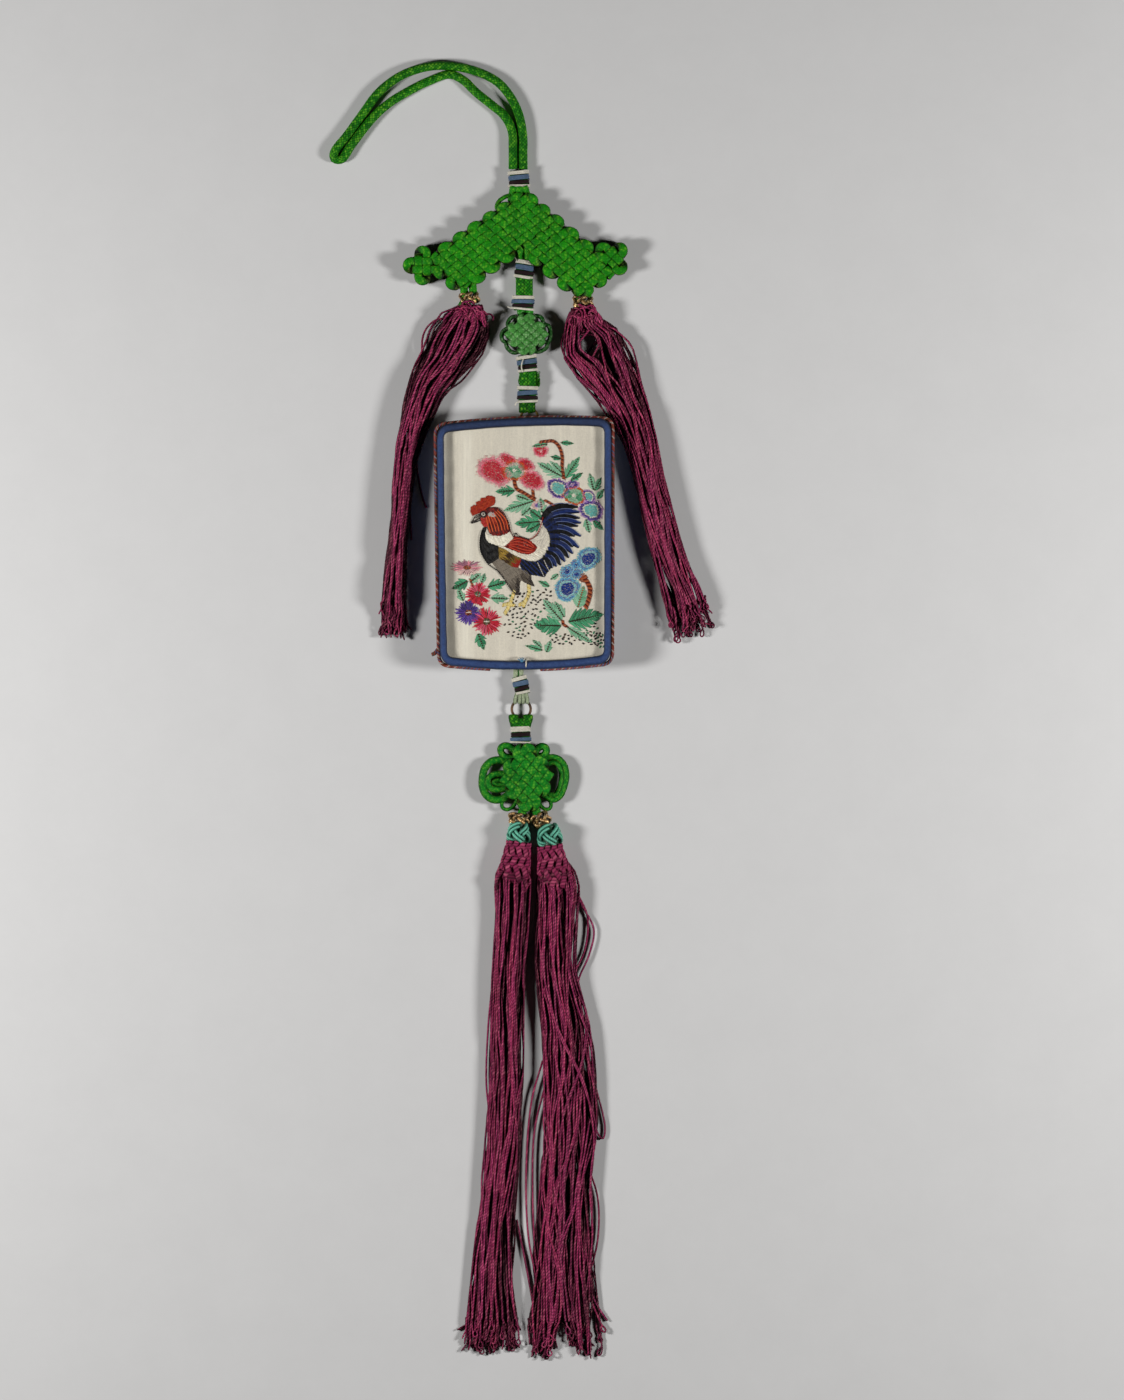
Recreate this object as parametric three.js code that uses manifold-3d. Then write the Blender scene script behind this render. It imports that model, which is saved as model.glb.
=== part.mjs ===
// Embroidered mirror case on knotted cords with four tassels, lying on its back.
// Millimetres, +Z up. The origin is the middle of the case's back, +Y runs towards the hanging loop.
import * as THREE from "three";
import { mergeVertices } from "three/addons/utils/BufferGeometryUtils.js";
import Module from "manifold-3d";

const wasm = await Module();
wasm.setup();

// Driving dimensions
const GAP = 0.3; // clearance between neighbouring pieces
const CORD = 3.0; // diameter of the braided cord
const CASE_WIDTH = 58.8; // over the piping
const CASE_HEIGHT = 83.6;
const CASE_CORNER = 4.2; // rounding of the case's outline
const PANEL_THICK = 1.2; // cloth over card
const POCKET_DEPTH = 6.4; // room for the mirror
const WALL_THICK = 1.5;
const PIPING_WIDE = 2.7;
const PIPING_HIGH = 2.7;
const PIPING_ROUND = 0.9;
const EDGE_CORD = 1.9; // diameter of the twisted cord round the side
const BINDING_HIGH = 4.2; // a wrapped pair of cords is wider than it is high
const KNOT_HIGH = 6.2; // two layers of cord
const KNOT_ROUND = 1.5;
const RING_WIRE = 0.9;
const STRAP_THICK = 1.0; // cord flattened where it turns round a ring
const STRAP_SEGMENTS = 2;
const LOCK_SIDES = 5;
const LOCK_STEPS = 8;

// Levels of the case, from its back up
const POCKET_FLOOR = PANEL_THICK;
const POCKET_TOP = POCKET_FLOOR + GAP + POCKET_DEPTH;
const FRONT_TOP = POCKET_TOP + PANEL_THICK;
const PIPING_BASE = FRONT_TOP + GAP;
const RING_LEVEL = POCKET_FLOOR + GAP + RING_WIRE / 2;

const FINISHES = {
  greenCord: { color: 0x1e7a2e, roughness: 0.75, metalness: 0 },
  paleCord: { color: 0xb9bca6, roughness: 0.8, metalness: 0 },
  binding: { color: 0x5d6f94, roughness: 0.8, metalness: 0 },
  burgundy: { color: 0x6d2345, roughness: 0.7, metalness: 0 },
  gilt: { color: 0xb98a4a, roughness: 0.4, metalness: 0.6 },
  teal: { color: 0x2c8f74, roughness: 0.7, metalness: 0 },
  brass: { color: 0xa08850, roughness: 0.35, metalness: 1 },
  bronze: { color: 0x4a3c2c, roughness: 0.45, metalness: 1 },
  satin: { color: 0xc8c0af, roughness: 0.5, metalness: 0 },
  blueSilk: { color: 0x30487c, roughness: 0.65, metalness: 0 },
  twistedCord: { color: 0x8a4a44, roughness: 0.75, metalness: 0 },
};

// Outline of the case
const CASE_SIDES = { bottom: 0.8, right: 0.2, top: 1.0, left: 0.6 }; // how far each side swells
const CASE_TOP_SLOPE = 1.1; // the top edge stands higher on the right than on the left
const CASE_FOOT_IN = 0.6; // the lower left corner stands in from the upper one
const CASE_SEGMENTS = 4;

const PANEL_INSET = { x: 0.6, y: 1.9 }; // the front panel keeps inside the edge cord
const BACK_INSET = { x: 0.6, y: 1.0 };
const GUSSET_INSET = { x: 0.9, y: 1.9 };
const MOUTH_DEPTH = 6; // how far the gusset stops short of the top edge

// Twisted cord round the side under the piping, open where its ends meet below the case
const EDGE_CORD_GAP = { from: -11.7, to: 5.3 };
const EDGE_CORD_OUT = { x: -0.75, y: 0.55 };
const EDGE_CORD_STUB = { fromX: -29.9, fromY: -36.4, toX: -31.4, toY: -37.9 };
const EDGE_CORD_POINTS = 60;
const EDGE_CORD_SIDES = 5;
const EDGE_CORD_STEPS = 42;

// Thread bindings: middle, size over the wrap and turn in plan
const BINDINGS = [
  { name: "binding_1", x: -1.9, y: 123.6, wide: 7.4, long: 5.8, turn: 0 },
  { name: "binding_2", x: 0.0, y: 92.9, wide: 6.8, long: 6.4, turn: -5 },
  { name: "binding_3", x: -0.5, y: 81.5, wide: 7.8, long: 5.0, turn: 0 },
  { name: "binding_4", x: 0.9, y: 60.9, wide: 6.8, long: 5.8, turn: 3 },
  { name: "binding_5", x: 1.0, y: 50.4, wide: 7.0, long: 5.8, turn: -3 },
  { name: "binding_6", x: -1.2, y: -48.4, wide: 5.4, long: 6.2, turn: 12 },
  { name: "binding_7", x: -1.3, y: -65.2, wide: 7.2, long: 5.8, turn: 0 },
];
const BINDING_STRIPES = 4;
const BINDING_GROOVE = 0.92; // radius between two stripes against the radius on one
const BINDING_SIDES = 8;

// Flat stretches of two cords side by side, between the bindings
const CORD_BASE = (BINDING_HIGH - CORD) / 2; // a cord's middle is at the middle of a binding
const TAB_BASE = POCKET_FLOOR + 2 * GAP; // the tab is sewn to the gusset, above the back panel
const FLAT_CORDS = [
  { name: "neck_cord", x: 0.0, y: 86.85, base: CORD_BASE, wide: 5.8, long: 5.0, high: CORD },
  { name: "frayed_cord", x: 1.7, y: 55.65, base: CORD_BASE, wide: 7.2, long: 4.0, high: CORD },
  { name: "tab_cord", x: -2.0, y: -43.0, base: TAB_BASE, wide: 3.4, long: 3.9, high: 2.2 },
];
const FLAT_CORD_FINISHES = ["greenCord", "greenCord", "paleCord"];
const FLAT_CORD_SIDES = 10;

// Cords that turn round a ring: the wire they hold, and the side the two legs leave on
const RING_LOOPS = [
  { name: "top_loop", x: 0.9, wireY: 45.6, legsY: 47.15, wide: 5.8, finish: "greenCord" },
  { name: "pale_loop", x: -0.9, wireY: -53.3, legsY: -51.9, wide: 4.6, finish: "paleCord" },
  { name: "green_loop", x: -1.3, wireY: -59.7, legsY: -61.95, wide: 6.8, finish: "greenCord" },
];

const RINGS = [
  { name: "top_ring", x: 1.7, y: 42.7, radius: 2.9, finish: "brass" },
  { name: "bottom_ring", x: -1.1, y: -56.5, radius: 3.2, finish: "bronze" },
];
const RING_SIDES = 12;
const RING_WIRE_SIDES = 5;

// Gilt collars and teal ball knots: turned bodies threaded on the cords
const COLLARS = [
  { name: "collar_left", x: -18.5, y: 82.9, wide: 7.1, long: 4.0, turn: 0 },
  { name: "collar_right", x: 19.9, y: 81.7, wide: 6.8, long: 4.0, turn: 0 },
  { name: "collar_lower_left", x: -1.9, y: -93.7, wide: 7.2, long: 3.2, turn: 0 },
  { name: "collar_lower_right", x: 5.6, y: -94.0, wide: 6.4, long: 3.2, turn: 25 },
];
const TEAL_KNOTS = [
  { name: "teal_knot_left", x: -2.0, y: -98.8, wide: 7.8, long: 6.4, turn: 0 },
  { name: "teal_knot_right", x: 8.3, y: -99.6, wide: 7.9, long: 7.2, turn: 8 },
];
const COLLAR_HIGH = 5.6;
const COLLAR_END = 0.8; // radius at the end of a collar against its middle
const TEAL_HIGH = 7.2;
const TEAL_END = 0.6;
const BARREL_FLAT = 0.4; // share of a turned body's length at its full radius
const TURNED_SIDES = 10;

// Roof knot: a lattice of cords along two arms, with a round lobe where each cord turns back
const ROOF_APEX = { x: 0, y: 118.8 };
const LEFT_ARM_ANGLE = 215; // degrees, measured from +X
const RIGHT_ARM_ANGLE = -41;
const LOBE_RADIUS = 3.0;
const LOBE_SET_IN = 0.8; // how far a lobe's centre lies inside the edge of the lattice
const LOBE_TRIM = 25; // degrees left off each end of a lobe's half circle
const LOBE_SIDES = 7;
const LOBE_SEGMENTS = 2;
const DIAMOND_SEGMENTS = 3;
// along: distance down the left arm, across: distance down the right arm, both from the apex
const ROOF_EDGES = [
  { along: 7.6, across: 0, stepAlong: 6.4, stepAcross: 0, lobes: 5, outward: 125 },
  { along: 41.2, across: 6.6, stepAlong: 0, stepAcross: 5.2, lobes: 2, outward: 215 },
  { along: 39.6, across: 14.8, stepAlong: -6.0, stepAcross: 0, lobes: 4, outward: 305 },
  { along: 15.1, across: 22.8, stepAlong: 0, stepAcross: 6.8, lobes: 3, outward: 229 },
  { along: 10.8, across: 40.4, stepAlong: -5.2, stepAcross: 0, lobes: 2, outward: 319 },
  { along: 0, across: 28.5, stepAlong: 0, stepAcross: -6.0, lobes: 5, outward: 49 },
];
// Round lobes at the tip of the roof and in the clover at each end
const ROOF_LOBES = [
  { x: -0.4, y: 117.3, radius: 3.0 },
  { x: -35.2, y: 98.4, radius: 2.9 },
  { x: -39.1, y: 94.2, radius: 2.7 },
  { x: -34.2, y: 90.0, radius: 2.9 },
  { x: -34.4, y: 94.2, radius: 3.0 },
  { x: 27.4, y: 100.0, radius: 2.9 },
  { x: 32.6, y: 99.4, radius: 2.8 },
  { x: 32.6, y: 93.4, radius: 2.8 },
  { x: 29.6, y: 96.6, radius: 3.2 },
];
const EAR_JOINS = [
  { fromX: -34.0, fromY: 93.0, toX: -26.0, toY: 92.0 },
  { fromX: 29.6, fromY: 96.6, toX: 23.0, toY: 95.0 },
];

// Small knot: a rounded diamond with thin loops that stand on edge
const SMALL_KNOT = { x: 0.6, y: 71.4, halfWide: 6.2, halfLong: 8.3, round: 3.0 };
const SMALL_KNOT_LOOPS = [
  { x: -3.9, y: 74.1, radius: 2.2 },
  { x: -5.2, y: 69.0, radius: 2.8 },
  { x: -3.0, y: 66.6, radius: 2.3 },
  { x: 4.6, y: 74.5, radius: 2.1 },
  { x: 6.2, y: 70.7, radius: 3.0 },
  { x: 5.0, y: 67.2, radius: 2.7 },
];
const THIN_LOOP = 0.9; // thickness of a loop seen on edge
const THIN_LOOP_HIGH = 3.2;

// Lower knot: a taller diamond with round ear loops and two cords down to the collars
const LOWER_KNOT = { x: 0.7, y: -80.3, halfWide: 8.6, halfLong: 11.4, round: 3.0 };
const LOWER_KNOT_LOOPS = [
  { x: -2.0, y: -73.5, tipX: -7.9, tipY: -69.9, half: 1.6, tube: 1.25 },
  { x: 3.0, y: -73.5, tipX: 7.2, tipY: -69.9, half: 1.6, tube: 1.25 },
  { x: -4.6, y: -77.6, tipX: -13.7, tipY: -75.9, half: 2.3, tube: 1.3 },
  { x: -4.6, y: -82.4, tipX: -13.6, tipY: -83.4, half: 2.5, tube: 1.3 },
  { x: 6.0, y: -77.4, tipX: 13.3, tipY: -75.9, half: 2.4, tube: 1.3 },
  { x: 6.2, y: -82.2, tipX: 13.2, tipY: -83.4, half: 2.5, tube: 1.3 },
  { x: -2.4, y: -85.6, tipX: -6.6, tipY: -90.0, half: 1.8, tube: 0.6 },
  { x: 4.4, y: -85.6, tipX: 8.2, tipY: -90.0, half: 1.7, tube: 0.6 },
];
const LOOP_OUTLINE = [
  { out: 0, side: 0.35 },
  { out: 0.5, side: 1 },
  { out: 0.85, side: 0.8 },
  { out: 1, side: 0 },
  { out: 0.85, side: -0.8 },
  { out: 0.5, side: -1 },
  { out: 0, side: -0.35 },
];
const EAR_LOOP_SIDES = 5;
const EAR_LOOP_STEPS = 7;
const LOWER_KNOT_TAILS = [
  { fromX: 0.4, fromY: -87.0, toX: -1.6, toY: -91.8 },
  { fromX: 2.2, fromY: -87.0, toX: 4.9, toY: -92.2 },
];
const LOOP_LEVEL = 2.6; // height of the ear loops above the surface

// Hanging loop: from the binding up the outer strand, round the fold and back down the inner strand
const LOOP_ROUTE = [
  { x: -0.4, y: 127.0 },
  { x: -0.5, y: 132.0 },
  { x: -0.5, y: 138.0 },
  { x: -1.9, y: 145.5 },
  { x: -4.6, y: 151.3 },
  { x: -9.0, y: 156.5 },
  { x: -15.1, y: 159.8 },
  { x: -21.6, y: 161.6 },
  { x: -28.7, y: 162.2 },
  { x: -34.9, y: 161.4 },
  { x: -42.3, y: 158.6 },
  { x: -49.6, y: 153.0 },
  { x: -55.4, y: 145.2 },
  { x: -60.2, y: 138.6 },
  { x: -64.6, y: 132.8 },
  { x: -64.6, y: 130.6 },
  { x: -62.2, y: 130.4 },
  { x: -58.8, y: 135.2 },
  { x: -51.6, y: 144.4 },
  { x: -46.1, y: 149.4 },
  { x: -40.0, y: 153.2 },
  { x: -32.8, y: 156.2 },
  { x: -25.6, y: 157.6 },
  { x: -19.2, y: 155.6 },
  { x: -13.4, y: 150.4 },
  { x: -7.2, y: 145.3 },
  { x: -4.3, y: 140.2 },
  { x: -3.9, y: 133.0 },
  { x: -3.9, y: 127.0 },
];
const LOOP_SIDES = 8;
const LOOP_STEPS = 32;

// Tassels: a head, then sections down the threads with the middle and half width of the bundle
const TASSELS = [
  {
    name: "tassel_left",
    head: { x: -18.4, y: 80.6, toX: -19.4, toY: 72.0, topRadius: 3.2, radius: 6.0 },
    sections: [
      { x: -18.6, y: 77.5, half: 4.2 },
      { x: -20.4, y: 70.4, half: 8.0 },
      { x: -26.2, y: 62.0, half: 8.0 },
      { x: -32.6, y: 53.6, half: 6.9 },
      { x: -36.6, y: 43.5, half: 5.6 },
      { x: -40.3, y: 28.2, half: 3.9 },
      { x: -43.0, y: 2.0, half: 3.4 },
      { x: -44.2, y: -29.5, half: 4.6 },
    ],
    lock: { count: 4, radius: 1.15 },
  },
  {
    name: "tassel_right",
    head: { x: 20.1, y: 78.8, toX: 21.8, toY: 70.6, topRadius: 3.2, radius: 6.4 },
    sections: [
      { x: 20.4, y: 76.5, half: 4.4 },
      { x: 23.2, y: 70.4, half: 9.4 },
      { x: 27.0, y: 61.5, half: 10.4 },
      { x: 32.4, y: 51.0, half: 8.0 },
      { x: 37.8, y: 38.6, half: 6.0 },
      { x: 42.2, y: 22.0, half: 5.2 },
      { x: 48.6, y: -4.0, half: 5.8 },
      { x: 57.2, y: -29.5, half: 6.8 },
    ],
    lock: { count: 4, radius: 1.4 },
  },
  {
    name: "tassel_lower_left",
    head: { x: -2.2, y: -102.4, toX: -4.0, toY: -117.6, topRadius: 3.5, radius: 5.6 },
    sections: [
      { x: -3.2, y: -112.0, half: 4.6 },
      { x: -4.0, y: -126.5, half: 5.6 },
      { x: -5.6, y: -152.0, half: 5.6 },
      { x: -6.7, y: -180.0, half: 6.3 },
      { x: -7.0, y: -203.0, half: 6.4 },
      { x: -9.4, y: -228.5, half: 6.2 },
      { x: -10.6, y: -250.0, half: 7.4 },
      { x: -11.0, y: -273.0, half: 9.2 },
    ],
    lock: { count: 4, radius: 1.4 },
  },
  {
    name: "tassel_lower_right",
    head: { x: 8.4, y: -103.6, toX: 11.2, toY: -117.8, topRadius: 3.5, radius: 6.2 },
    sections: [
      { x: 10.0, y: -112.0, half: 4.9 },
      { x: 11.2, y: -126.5, half: 6.8 },
      { x: 10.6, y: -146.0, half: 6.8 },
      { x: 13.2, y: -169.0, half: 8.4 },
      { x: 14.6, y: -196.0, half: 9.0 },
      { x: 14.0, y: -221.0, half: 9.0 },
      { x: 13.2, y: -248.0, half: 10.4 },
      { x: 13.6, y: -273.5, half: 12.6 },
    ],
    lock: { count: 5, radius: 1.4 },
  },
];
const HEAD_HIGH = 7.0;
const HEAD_SHOULDER = 0.55; // share of the head's length where it is as wide as the threads
const HEAD_NECK = 0.4; // share of the way to the shoulder where it is half as wide
const HEAD_FOOT = 0.7; // radius at the foot, inside the threads, against the shoulder
const ROW_RISE = 1.75; // height of the upper row of locks over the lower one, in lock radii
const END_LENGTHS = 3; // locks end at this many different lengths
const END_STAGGER = 1.3; // and these lengths lie this far apart

const MERGE_DISTANCE = 1e-4;
const radians = THREE.MathUtils.degToRad;

// Closed solid for joining and cutting, from a geometry
function solidOf(geometry) {
  const bare = geometry.clone();
  bare.deleteAttribute("normal");
  bare.deleteAttribute("uv");
  const merged = mergeVertices(bare, MERGE_DISTANCE);
  return new wasm.Manifold(
    new wasm.Mesh({
      numProp: 3,
      vertProperties: merged.attributes.position.array,
      triVerts: new Uint32Array(merged.index.array),
    }),
  );
}

function geometryOf(solid) {
  const mesh = solid.getMesh();
  const geometry = new THREE.BufferGeometry();
  geometry.setAttribute("position", new THREE.BufferAttribute(mesh.vertProperties, mesh.numProp));
  geometry.setIndex(new THREE.BufferAttribute(mesh.triVerts, 1));
  geometry.computeVertexNormals();
  return geometry;
}

function fuse(geometries) {
  return geometryOf(geometries.map(solidOf).reduce((all, next) => all.add(next)));
}

function cut(geometry, tools) {
  return geometryOf(tools.map(solidOf).reduce((left, tool) => left.subtract(tool), solidOf(geometry)));
}

// Regular section of a cord or lock, as a shape
function ngon(sides, radiusX, radiusY = radiusX) {
  const points = [];
  for (let i = 0; i < sides; i++) {
    const angle = (2 * Math.PI * i) / sides;
    points.push(new THREE.Vector2(radiusX * Math.cos(angle), radiusY * Math.sin(angle)));
  }
  return new THREE.Shape(points);
}

function tube(points, radius, sides, steps) {
  const path = new THREE.CatmullRomCurve3(points);
  return new THREE.ExtrudeGeometry(ngon(sides, radius), { steps, extrudePath: path });
}

// Straight cord between two places at one height
function stub({ fromX, fromY, toX, toY }, radius, level) {
  const ends = [new THREE.Vector3(fromX, fromY, level), new THREE.Vector3(toX, toY, level)];
  return tube(ends, radius, EAR_LOOP_SIDES, 1);
}

// Flat pad with rounded edges, standing on the surface
function pad(shape, high, round, segments) {
  const geometry = new THREE.ExtrudeGeometry(shape, {
    depth: high - 2 * round,
    curveSegments: segments,
    bevelThickness: round,
    bevelSize: round,
    bevelOffset: -round,
    bevelSegments: 1,
  });
  return geometry.translate(0, 0, round);
}

// Plate of one outline between two levels
function plate(shape, base, thick, segments) {
  const geometry = new THREE.ExtrudeGeometry(shape, {
    depth: thick,
    curveSegments: segments,
    bevelEnabled: false,
  });
  return geometry.translate(0, 0, base);
}

// Turned body along Y through a profile of radius and place, flattened to its height
function turned(profile, sides, high, wide) {
  const points = profile.map(({ radius, at }) => new THREE.Vector2(radius, at));
  return new THREE.LatheGeometry(points, sides).scale(1, 1, high / wide);
}

const assembly = new THREE.Group();

function addPiece(group, name, geometry, finish) {
  const mesh = new THREE.Mesh(geometry, new THREE.MeshStandardMaterial(FINISHES[finish]));
  mesh.name = name;
  group.add(mesh);
  return mesh;
}

function addGroup() {
  const group = new THREE.Group();
  assembly.add(group);
  return group;
}

// A wrap of thread: one swelling for each stripe
function bindingGeometry(wide, long, swell = 0) {
  const radius = wide / 2 + swell;
  const start = -long / 2 - swell;
  const stripe = (long + 2 * swell) / BINDING_STRIPES;
  const profile = [{ radius: 0, at: start }];
  for (let i = 0; i < BINDING_STRIPES; i++) {
    profile.push({ radius: radius * BINDING_GROOVE, at: start + i * stripe });
    profile.push({ radius, at: start + (i + 0.5) * stripe });
  }
  profile.push({ radius: radius * BINDING_GROOVE, at: -start });
  profile.push({ radius: 0, at: -start });
  return turned(profile, BINDING_SIDES, BINDING_HIGH + 2 * swell, wide + 2 * swell);
}

function addBindings(group) {
  for (const { name, x, y, wide, long, turn } of BINDINGS) {
    const mesh = addPiece(group, name, bindingGeometry(wide, long), "binding");
    mesh.position.set(x, y, BINDING_HIGH / 2);
    mesh.rotation.z = radians(turn);
  }
}

function addFlatCords(group) {
  FLAT_CORDS.forEach(({ name, x, y, base, wide, long, high }, i) => {
    const section = ngon(FLAT_CORD_SIDES, wide / 2, high / 2);
    const geometry = new THREE.ExtrudeGeometry(section, { depth: long, bevelEnabled: false });
    geometry.translate(0, 0, -long / 2).rotateX(Math.PI / 2);
    const mesh = addPiece(group, name, geometry, FLAT_CORD_FINISHES[i]);
    mesh.position.set(x, y, base + high / 2);
  });
}

// A flattened cord that goes round the wire of a ring and comes back
function addRingLoops(group) {
  const inner = RING_WIRE / 2 + GAP;
  const outer = inner + STRAP_THICK;
  for (const { name, x, wireY, legsY, wide, finish } of RING_LOOPS) {
    const reach = Math.abs(legsY - wireY);
    const side = Math.sign(legsY - wireY);
    const profile = new THREE.Shape();
    profile.moveTo(reach, outer);
    profile.absarc(0, 0, outer, Math.PI / 2, (3 * Math.PI) / 2, false);
    profile.lineTo(reach, -outer);
    profile.lineTo(reach, -inner);
    profile.absarc(0, 0, inner, (3 * Math.PI) / 2, Math.PI / 2, true);
    profile.lineTo(reach, inner);
    const geometry = new THREE.ExtrudeGeometry(profile, {
      depth: wide,
      curveSegments: STRAP_SEGMENTS,
      bevelEnabled: false,
    });
    geometry.translate(0, 0, -wide / 2);
    const turn = new THREE.Matrix4().makeBasis(
      new THREE.Vector3(0, side, 0),
      new THREE.Vector3(0, 0, 1),
      new THREE.Vector3(side, 0, 0),
    );
    const strap = geometry.applyMatrix4(turn).translate(x, wireY, RING_LEVEL);
    const wires = RINGS.map((ring) => ringGeometry(ring, GAP));
    addPiece(group, name, cut(strap, wires), finish);
  }
}

function ringGeometry({ x, y, radius }, swell = 0) {
  const wire = RING_WIRE / 2 + swell;
  return new THREE.TorusGeometry(radius, wire, RING_WIRE_SIDES, RING_SIDES).translate(x, y, RING_LEVEL);
}

function addRings(group) {
  for (const ring of RINGS) addPiece(group, ring.name, ringGeometry(ring), ring.finish);
}

// Barrel with rounded ends, as a collar or a ball knot has
function barrel(wide, long, high, endShare) {
  const radius = wide / 2;
  const half = long / 2;
  const profile = [
    { radius: 0, at: -half },
    { radius: radius * endShare, at: -half },
    { radius, at: -half * BARREL_FLAT },
    { radius, at: half * BARREL_FLAT },
    { radius: radius * endShare, at: half },
    { radius: 0, at: half },
  ];
  return turned(profile, TURNED_SIDES, high, wide);
}

function addTurned(group, table, high, endShare, finish) {
  for (const { name, x, y, wide, long, turn } of table) {
    const mesh = addPiece(group, name, barrel(wide, long, high, endShare), finish);
    mesh.position.set(x, y, high / 2);
    mesh.rotation.z = radians(turn);
  }
}

// Roof knot
function latticePoint(along, across) {
  const left = radians(LEFT_ARM_ANGLE);
  const right = radians(RIGHT_ARM_ANGLE);
  return {
    x: ROOF_APEX.x + along * Math.cos(left) + across * Math.cos(right),
    y: ROOF_APEX.y + along * Math.sin(left) + across * Math.sin(right),
  };
}

function roofOutline() {
  const outline = new THREE.Shape();
  for (const edge of ROOF_EDGES) {
    const outward = radians(edge.outward);
    const sweep = radians(90 - LOBE_TRIM);
    for (let i = 0; i < edge.lobes; i++) {
      const at = latticePoint(edge.along + i * edge.stepAlong, edge.across + i * edge.stepAcross);
      const x = at.x - LOBE_SET_IN * Math.cos(outward);
      const y = at.y - LOBE_SET_IN * Math.sin(outward);
      outline.absarc(x, y, LOBE_RADIUS, outward - sweep, outward + sweep, false);
    }
  }
  return outline;
}

// Round lobe of cord lying flat
function lobe({ x, y, radius }) {
  const profile = [
    { radius: 0, at: 0 },
    { radius: radius - KNOT_ROUND / 2, at: 0 },
    { radius, at: KNOT_ROUND },
    { radius, at: KNOT_HIGH - KNOT_ROUND },
    { radius: radius - KNOT_ROUND / 2, at: KNOT_HIGH },
    { radius: 0, at: KNOT_HIGH },
  ];
  const points = profile.map((p) => new THREE.Vector2(p.radius, p.at));
  return new THREE.LatheGeometry(points, LOBE_SIDES).rotateX(Math.PI / 2).translate(x, y, 0);
}

// Room for the turned pieces that sit against a knot
function clearances() {
  const bindings = BINDINGS.map(({ x, y, wide, long, turn }) =>
    bindingGeometry(wide, long, GAP)
      .rotateZ(radians(turn))
      .translate(x, y, BINDING_HIGH / 2),
  );
  const collars = COLLARS.map(({ x, y, wide, long, turn }) =>
    barrel(wide + 2 * GAP, long + 2 * GAP, COLLAR_HIGH + 2 * GAP, COLLAR_END)
      .rotateZ(radians(turn))
      .translate(x, y, COLLAR_HIGH / 2),
  );
  return [...bindings, ...collars];
}

function roofKnotGeometry() {
  const body = pad(roofOutline(), KNOT_HIGH, KNOT_ROUND, LOBE_SEGMENTS);
  const ears = ROOF_LOBES.map(lobe);
  const joins = EAR_JOINS.map((join) => stub(join, CORD / 2, KNOT_HIGH / 2));
  return cut(fuse([body, ...ears, ...joins]), clearances());
}

// Diamond with rounded corners
function diamond({ x, y, halfWide, halfLong, round }) {
  const corners = [
    new THREE.Vector2(x + halfWide, y),
    new THREE.Vector2(x, y + halfLong),
    new THREE.Vector2(x - halfWide, y),
    new THREE.Vector2(x, y - halfLong),
  ];
  return roundedOutline(corners, round, () => 0);
}

// Closed outline through corners, each rounded, with sides that may swell outwards
function roundedOutline(corners, round, swellOf) {
  const outline = new THREE.Shape();
  corners.forEach((corner, i) => {
    const next = corners[(i + 1) % corners.length];
    const after = corners[(i + 2) % corners.length];
    const run = next.clone().sub(corner).normalize();
    const turn = after.clone().sub(next).normalize();
    const start = corner.clone().addScaledVector(run, round);
    const end = next.clone().addScaledVector(run, -round);
    const outward = new THREE.Vector2(run.y, -run.x);
    const middle = corner.clone().add(next).multiplyScalar(0.5).addScaledVector(outward, 2 * swellOf(i));
    const onward = next.clone().addScaledVector(turn, round);
    if (i === 0) outline.moveTo(start.x, start.y);
    outline.quadraticCurveTo(middle.x, middle.y, end.x, end.y);
    outline.quadraticCurveTo(next.x, next.y, onward.x, onward.y);
  });
  return outline;
}

function smallKnotGeometry() {
  const body = pad(diamond(SMALL_KNOT), KNOT_HIGH, KNOT_ROUND, DIAMOND_SEGMENTS);
  const loops = SMALL_KNOT_LOOPS.map(({ x, y, radius }) => {
    const ring = ngon(LOBE_SIDES, radius);
    ring.holes.push(ngon(LOBE_SIDES, radius - THIN_LOOP));
    return plate(ring, 0, THIN_LOOP_HIGH, 1).translate(x, y, (KNOT_HIGH - THIN_LOOP_HIGH) / 2);
  });
  return cut(fuse([body, ...loops]), clearances());
}

// Loop of cord that leaves a knot, turns and comes back
function earLoop({ x, y, tipX, tipY, half, tube: radius }) {
  const reach = new THREE.Vector2(tipX - x, tipY - y);
  const side = new THREE.Vector2(-reach.y, reach.x).normalize().multiplyScalar(half);
  const points = LOOP_OUTLINE.map(
    (p) =>
      new THREE.Vector3(
        x + reach.x * p.out + side.x * p.side,
        y + reach.y * p.out + side.y * p.side,
        LOOP_LEVEL,
      ),
  );
  return tube(points, radius, EAR_LOOP_SIDES, EAR_LOOP_STEPS);
}

function lowerKnotGeometry() {
  const body = pad(diamond(LOWER_KNOT), KNOT_HIGH, KNOT_ROUND, DIAMOND_SEGMENTS);
  const loops = LOWER_KNOT_LOOPS.map(earLoop);
  const tails = LOWER_KNOT_TAILS.map((tail) => stub(tail, CORD / 2, COLLAR_HIGH / 2));
  return cut(fuse([body, ...loops, ...tails]), clearances());
}

// Case
function caseOutline(insetX, insetY) {
  const halfWide = CASE_WIDTH / 2 - insetX;
  const halfHigh = CASE_HEIGHT / 2 - insetY;
  const corners = [
    new THREE.Vector2(-halfWide + CASE_FOOT_IN, -halfHigh),
    new THREE.Vector2(halfWide, -halfHigh),
    new THREE.Vector2(halfWide, halfHigh + CASE_TOP_SLOPE / 2),
    new THREE.Vector2(-halfWide, halfHigh - CASE_TOP_SLOPE / 2),
  ];
  const swells = Object.values(CASE_SIDES);
  return roundedOutline(corners, CASE_CORNER, (i) => swells[i]);
}

function frameOutline(insetX, insetY, wide) {
  const frame = caseOutline(insetX, insetY);
  frame.holes.push(caseOutline(insetX + wide, insetY + wide));
  return frame;
}

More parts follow.
